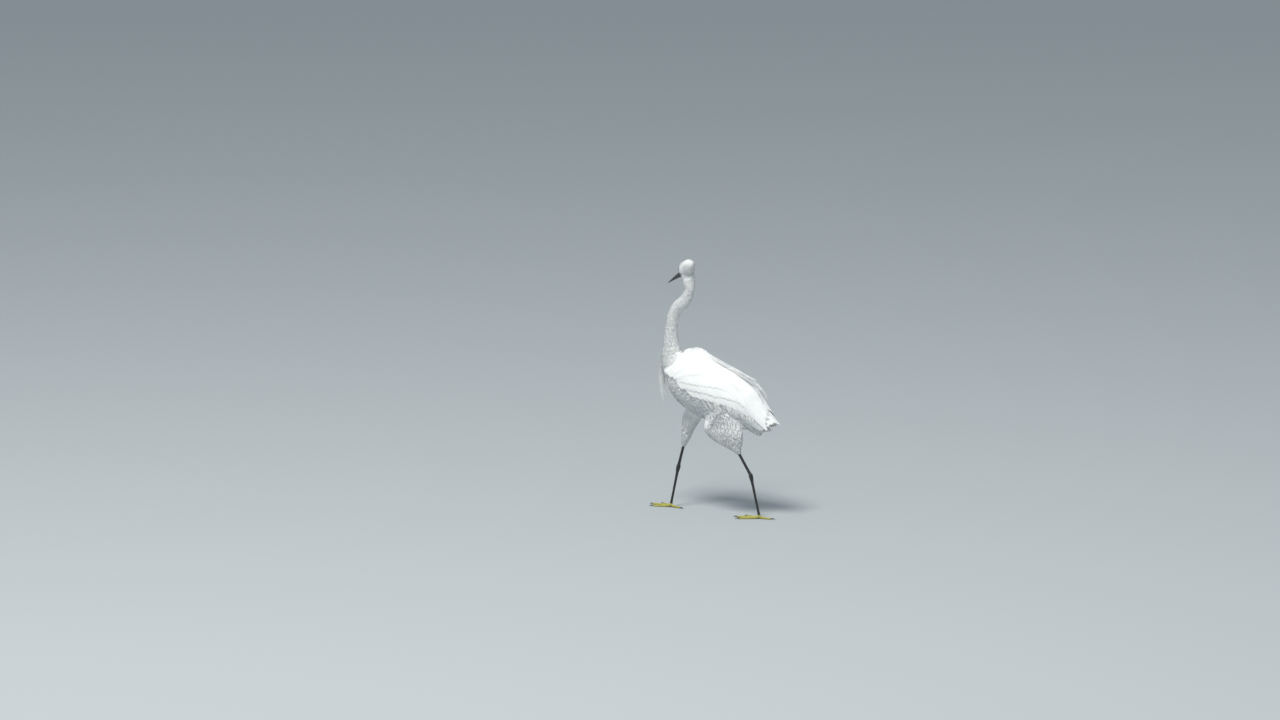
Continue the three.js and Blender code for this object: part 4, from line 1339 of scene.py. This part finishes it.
def bill_half(level):
    """The upper half of the bill for level 1 and the lower for -1."""
    rings = []
    turn = np.linspace(0, math.pi, BILL_SIDES)
    for t in np.linspace(0, 1, BILL_SECTIONS):
        taper = lerp(BILL_SHAPE["tip"], 1, (1 - t) ** BILL_SHAPE["taper"])
        high = BILL["height"] / 2 * taper
        wide = BILL["width"] / 2 * taper
        y = -lerp(BILL["from"] - BILL_SHAPE["into head"], BILL["from"] + BILL["length"], t)
        middle = BILL["up"] + BILL["sag"] * t * t
        slope = np.abs(np.sin(turn)) ** BILL_SHAPE["round"]
        x = wide * np.cos(turn) * (1 - BILL_SHAPE["drawn in"] * np.sin(turn) ** 4)
        z = middle + level * (BILL["gape"] / 4 + high * slope)
        if level > 0:
            from_top = np.minimum(turn, math.pi - turn) - NOSTRIL["angle"]
            along = (-y - NOSTRIL["forward"]) / (NOSTRIL["length"] / 2)
            fading = smooth_step(GROOVE["ends"] + y, 0, GROOVE["fades over"])
            groove = GROOVE["deep"] * fading * np.exp(-((from_top / GROOVE["half"]) ** 2))
            slit = NOSTRIL["deep"] * math.exp(-(along**4)) * np.exp(-((from_top / NOSTRIL["half"]) ** 2))
            x = x - np.sign(np.cos(turn)) * (groove + slit)
        ring = np.column_stack([x, np.full(BILL_SIDES, y), z])
        rings.append(ring if level > 0 else ring[::-1])
    return loft(np.array(rings)[:, ::-1])


bills = {}
for name, level in (("bill_upper", 1), ("bill_lower", -1)):
    gathering = Gathering()
    points, faces = bill_half(level)
    gathering.put(from_head(points), faces)
    bills[name] = gathering.build(name + "_horn", HORN)

# %% [markdown]
# An egret's eye is pale yellow with a round black pupil, set in a ring of bare skin. The ball is a globe of
# rings round the way it looks, so that a map can give pupil, iris and rim by their angle from that way.
# A clear cornea bulges over it, and three wrinkled folds of skin close round it.

# %% Eyes
def eye_frame(side):
    ahead = math.radians(EYE["looks ahead"])
    look = np.array([side * math.cos(ahead), -math.sin(ahead), 0.0])
    centre = np.array([side * EYE["side"], -EYE["forward"], EYE["up"]])
    across = np.cross([0, 0, 1.0], look)
    return centre, look, across, np.cross(look, across)


def globe(side, radius, polar, sides=40):
    """Rings at polar angles from the way the eye looks, with a map of turn and polar angle."""
    centre, look, across, up = eye_frame(side)
    turn = circle(sides)
    path = centre + look * (radius * np.cos(polar))[:, None]
    points, faces = loft(tube(path, radius * np.sin(polar), across[None], up[None], turn))
    down = np.concatenate([np.repeat(polar, sides), [polar[0], polar[-1]]])
    spin = np.concatenate([np.tile(turn, len(polar)), [0, 0]])
    return from_head(points), faces, np.column_stack([spin / (2 * math.pi), down / math.pi])


def lid_folds(side, steps=56, sides=10):
    """Points and faces of the closed, wrinkled rings of skin round an eye."""
    centre, look, across, up = eye_frame(side)
    turn = circle(steps)
    radial = np.cos(turn)[:, None] * across + np.sin(turn)[:, None] * up * LIDS["flat"]
    for fold, (radius, thick, out) in enumerate(LIDS["folds"]):
        (coarse, few), (fine, many) = LIDS["wrinkles"]
        wrinkle = 1 + coarse * np.sin(turn * few + fold) + fine * np.sin(turn * many)
        open_by = radius * (1 + LIDS["longer"] * np.cos(turn) ** 2)
        path = centre + look * out + radial * open_by[:, None]
        rings = tube(path, thick * wrinkle, radial, look[None], circle(sides))
        ring_faces = [
            (r * sides + i, r * sides + (i + 1) % sides, n * sides + (i + 1) % sides, n * sides + i)
            for r, n in zip(range(steps), [*range(1, steps), 0]) for i in range(sides)
        ]
        yield from_head(rings.reshape(-1, 3)), ring_faces


# The ball is a little flatter at the pupil, and the cornea bulges most there.
BALL = {"flatter": 0.05, "flat to": 0.55, "rings": 34, "pole": 0.02}
CLEAR = {"radius": 1.012, "bulge": 0.075, "bulge to": 1.45, "edge": 0.95, "rings": 16}
# Each fold of the lids: its radius, its thickness and how far out it stands.
LIDS = {
    "folds": [(4.3, 0.5, 4.0), (5.05, 0.6, 3.3), (5.75, 0.6, 2.5)], "flat": 0.96, "longer": 0.05,
    "wrinkles": ((0.05, 23), (0.03, 37)),
}
PUPIL = (0.004, 0.004, 0.004, 1)
# Colour by the angle from the middle of the pupil, in half turns.
IRIS_RINGS = [
    (0.0, PUPIL),
    (0.128, PUPIL),
    (0.138, (0.62, 0.48, 0.10, 1)),
    (0.19, (0.80, 0.72, 0.30, 1)),
    (0.235, (0.55, 0.47, 0.16, 1)),
    (0.25, (0.02, 0.02, 0.02, 1)),
]


def eye_finish():
    material, graph, shader = plain_material("iris", (0.72, 0.62, 0.22, 1), 0.5)
    eye_map = graph.add("ShaderNodeUVMap", uv_map="vane")
    parts = graph.add("ShaderNodeSeparateXYZ", {0: eye_map.outputs[0]})
    drawn_out = graph.vector("MULTIPLY", eye_map.outputs[0], (60.0, 6.0, 1.0))
    streaks = graph.add("ShaderNodeTexNoise", {"Vector": drawn_out, "Scale": 1.0, "Detail": 3.0})
    ramp = graph.add("ShaderNodeValToRGB", {0: parts.outputs[1]})
    stops = ramp.color_ramp.elements
    while len(stops) < len(IRIS_RINGS):
        stops.new(0.5)
    for stop, (reach, colour) in zip(stops, IRIS_RINGS):
        stop.position = reach
        stop.color = colour
    streaky = graph.value("MULTIPLY", streaks.outputs[0], 0.45)
    shade = graph.mix(streaky, ramp.outputs[0], (0.30, 0.24, 0.05, 1), blend_type="MULTIPLY")
    graph.join(shade, shader.inputs["Base Color"])
    shader.inputs["Specular IOR Level"].default_value = 0.1
    return material


def cornea_finish():
    material, _, shader = plain_material("cornea", (1, 1, 1, 1), 0.02)
    shader.inputs["Transmission Weight"].default_value = 1.0
    shader.inputs["IOR"].default_value = 1.2
    shader.inputs["Coat Weight"].default_value = 1.0
    return material


IRIS, CORNEA = eye_finish(), cornea_finish()
eyes, corneas, lids = {}, {}, {}
for name, side in SIDES.items():
    polar = np.linspace(BALL["pole"], math.pi - BALL["pole"], BALL["rings"])
    radius = EYE["radius"] * (1 - BALL["flatter"] * np.exp(-((polar / BALL["flat to"]) ** 2)))
    gathering = Gathering()
    gathering.put(*globe(side, radius, polar))
    eyes[name] = gathering.build("eye_" + name + "_ball", IRIS)
    polar = np.linspace(BALL["pole"], CLEAR["edge"], CLEAR["rings"])
    bulge = CLEAR["bulge"] * np.maximum(0, np.cos(polar * CLEAR["bulge to"])) ** 2
    gathering = Gathering()
    gathering.put(*globe(side, EYE["radius"] * (CLEAR["radius"] + bulge), polar))
    corneas[name] = gathering.build("cornea_" + name, CORNEA)
    gathering = Gathering()
    for points, faces in lid_folds(side):
        gathering.put(points, faces)
    lids[name] = gathering.build("lids_" + name, LORE_SKIN)

# %% [markdown]
# Legs are black and scaled. Down the front runs a ladder of broad scutes, each raised a little over the
# next, and the rest is netted with small scales. The toes are greenish yellow, with scutes above and pads
# below.

# %% Legs and feet
SHANK = {"radius": 3.1, "heel": 4.9, "tarsus": 2.7, "into thigh": 0.16, "bend": 0.13}
FLOOR_GAP = 0.02  # the soles end just over the floor
# Each toe's name, its turn from straight ahead, its length and its radius.
TOES = [("inner", -26, 42, 2.5), ("middle", 2, 54, 2.7), ("outer", 28, 46, 2.5), ("hind", 184, 29, 2.5)]
CLAW = {"length": 10, "radius": 1.35}
TAPERS = {"shank": (1, 1, 1, 1.15, 1.3), "toe": (1.15, 1.1, 0.95, 0.85, 0.6), "claw": (1, 0.9, 0.6, 0.1)}
# How far the plates stand out, how often they come, how far the pads swell, and how fine the mesh is.
PLATES = {
    "shank": {"scute": 0.2, "every": 2.6, "steps": 70},
    "tarsus": {"scute": 0.32, "every": 3.1, "scutes_start": (8, 16), "steps": 180},
    "toe": {"scute": 0.26, "every": 2.3, "pads": 0.16, "steps": 64, "sides": 16},
    "claw": {"steps": 16, "sides": 12},
}
PLATES_EVERY_PAD = 3.4
UPWARDS = (0, 0, 1)


def scaled_limb(
    line, radii, ahead, scute=0.0, every=3.0, pads=0.0, scutes_start=(-1, 0), steps=60, sides=18
):
    """A limb with raised plates on the side that faces ahead, and swellings on the other."""
    share = np.linspace(0, 1, steps)
    path = curve_at(line, share)
    flow = flow_along(path)
    travelled = np.concatenate([[0], np.cumsum(steps_of(path))])
    across = unit(np.cross(flow, np.asarray(ahead, float)))
    front = np.cross(across, flow)
    turn = circle(sides)
    facing = np.clip(np.cos(turn), 0, 1)[None] ** 0.6
    behind = np.clip(-np.cos(turn), 0, 1)[None]
    saw = (1 - (travelled / every) % 1) * smooth_step(travelled, *scutes_start)
    swell = 0.5 + 0.5 * np.cos(2 * math.pi * travelled / (every * PLATES_EVERY_PAD))
    radius = curve_at(np.reshape(radii, (-1, 1)), share)
    radius = radius * (1 + pads * swell[:, None] * behind) + scute * saw[:, None] * facing
    return loft(tube(path, radius, front, across, turn))


def on_floor(points, faces):
    """Keeps a form over the floor."""
    points[:, 2] = np.maximum(points[:, 2], FLOOR_GAP)
    return points, faces


def heads(degrees, slope=0.0):
    """The way that a turn from straight ahead points."""
    return np.array([math.sin(math.radians(degrees)), -math.cos(math.radians(degrees)), slope])


def toe_line(row, ball, heading, side):
    """The lines of a toe and its claw, and the toe's radii."""
    _, angle, length, radius = row
    ahead = heads(heading + side * angle)

    def at(share, z):
        return np.array([ball[0], ball[1], 0]) + ahead * length * share + [0, 0, z]

    toe = [at(0, 5.0), at(0.2, 2.9), at(0.45, radius * 0.85), at(0.75, 1.9), at(1.0, 1.5)]
    radii = [radius * k for k in TAPERS["toe"]]
    reach = CLAW["length"] / length
    claw = [at(0.95, 1.7), at(1 + 0.3 * reach, 2.3), at(1 + 0.7 * reach, 1.9), at(1 + reach, 0.6)]
    return toe, radii, claw


leg_pieces = []
for name, leg in LEGS.items():
    side = SIDES[name]
    bare_top = np.array(leg["thigh"][-1][:3], float)
    heel, ball = np.array(leg["heel"], float), np.array(leg["ball"], float)
    inside = bare_top + (bare_top - heel) * SHANK["into thigh"]
    ahead = heads(leg["heading"], slope=0.25)
    shank = Gathering()
    line = [inside, bare_top, lerp(bare_top, heel, 0.6), lerp(bare_top, heel, 0.9), heel]
    shank.put(*scaled_limb(line, [SHANK["radius"] * k for k in TAPERS["shank"]], ahead, **PLATES["shank"]))
    tarsus = Gathering()
    r, wide = SHANK["tarsus"], SHANK["heel"]
    bend = lerp(heel, bare_top, SHANK["bend"])
    line = [bend, lerp(heel, bend, 0.45), heel - [0, 0, 1]]
    line += [lerp(heel, ball, t) for t in (0.1, 0.2, 0.5, 0.86, 0.97, 1.02)]
    radii = [r, wide * 0.86, wide, wide * 0.86, r * 1.15, r, r, r * 1.15, r * 1.05]
    tarsus.put(*scaled_limb(line, radii, ahead, **PLATES["tarsus"]))
    foot = Gathering()
    foot.put(*scaled_limb(
        [lerp(heel, ball, 0.955), lerp(heel, ball, 0.99), ball - [0, 0, 2.6], ball - [0, 0, 4.6]],
        [r * 0.9, r * 1.35, 4.0, 2.6], ahead, steps=16))
    claws = Gathering()
    for row in TOES:
        toe, radii, claw = toe_line(row, ball, leg["heading"], side)
        foot.put(*on_floor(*scaled_limb(toe, radii, UPWARDS, **PLATES["toe"])))
        radii = [CLAW["radius"] * k for k in TAPERS["claw"]]
        claws.put(*on_floor(*scaled_limb(claw, radii, UPWARDS, **PLATES["claw"])))
    leg_pieces += [
        (shank.build("shank_skin_" + name, LEG_SKIN), ["shank_" + name], "leg_skin"),
        (tarsus.build("tarsus_skin_" + name, LEG_SKIN), ["tarsus_" + name], "leg_skin"),
        (foot.build("toes_" + name, TOE_SKIN), ["foot_" + name], "toe_skin"),
        (claws.build("claws_" + name, CLAW_HORN), [f"claw_{name}_{row[0]}" for row in TOES], "claw"),
    ]

# %% Mouth
# Two soft ridges with a dark line between them run back from the bill under each eye.
MOUTH_RIDGES = [(-5.5, 0.62, 0.25), (5.5, 0.62, 0.25), (0, 0.4, 0.05)]  # degrees aside, radius, height
MOUTH_SUNK = 0.9
MOUTH_TAPER = np.array([1, 1, 0.8, 0.3])
mouths = {}
for name, side in SIDES.items():
    gathering = Gathering()
    for aside, radius, lift in MOUTH_RIDGES:
        line = mouth_line(side, aside, lift - MOUTH_SUNK)
        gathering.put(*scaled_limb(line, radius * MOUTH_TAPER, (side, 0, 0), steps=30, sides=10))
    mouths[name] = gathering.build("mouth_" + name, LORE_SKIN)

# %% [markdown]
# Last, each piece hides the solids that it stands for, and all ride on the one body.

# %% Fit the pieces to the solids
for pattern in PATTERNS.values():
    bpy.data.objects.remove(pattern)

FLESH = ["torso", "neck_lower", "neck_middle", "neck_upper", "head", "thigh_left", "thigh_right"]
fitted = [(skin, FLESH, "plumage")]
fitted += [(coat, [], "plumage") for coat in coats]
fitted += [(wings[name], ["wing_" + name], "plumage") for name in SIDES]
fitted += [(tail, ["tail"], "plumage")]
fitted += [(piece, [], "plumage") for piece in (breast_plumes, back_plumes, *fringes.values())]
fitted += [(bills[name], [name], "bill") for name in bills]
fitted += [(eyes[name], ["eye_" + name], "eye") for name in SIDES]
fitted += [(corneas[name], [], "eye") for name in SIDES]
fitted += [(piece, [], "bill") for piece in (*lids.values(), *mouths.values())]
fitted += leg_pieces
for piece, solids, slot in fitted:
    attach(piece, "root")
    if solids:
        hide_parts(*solids)
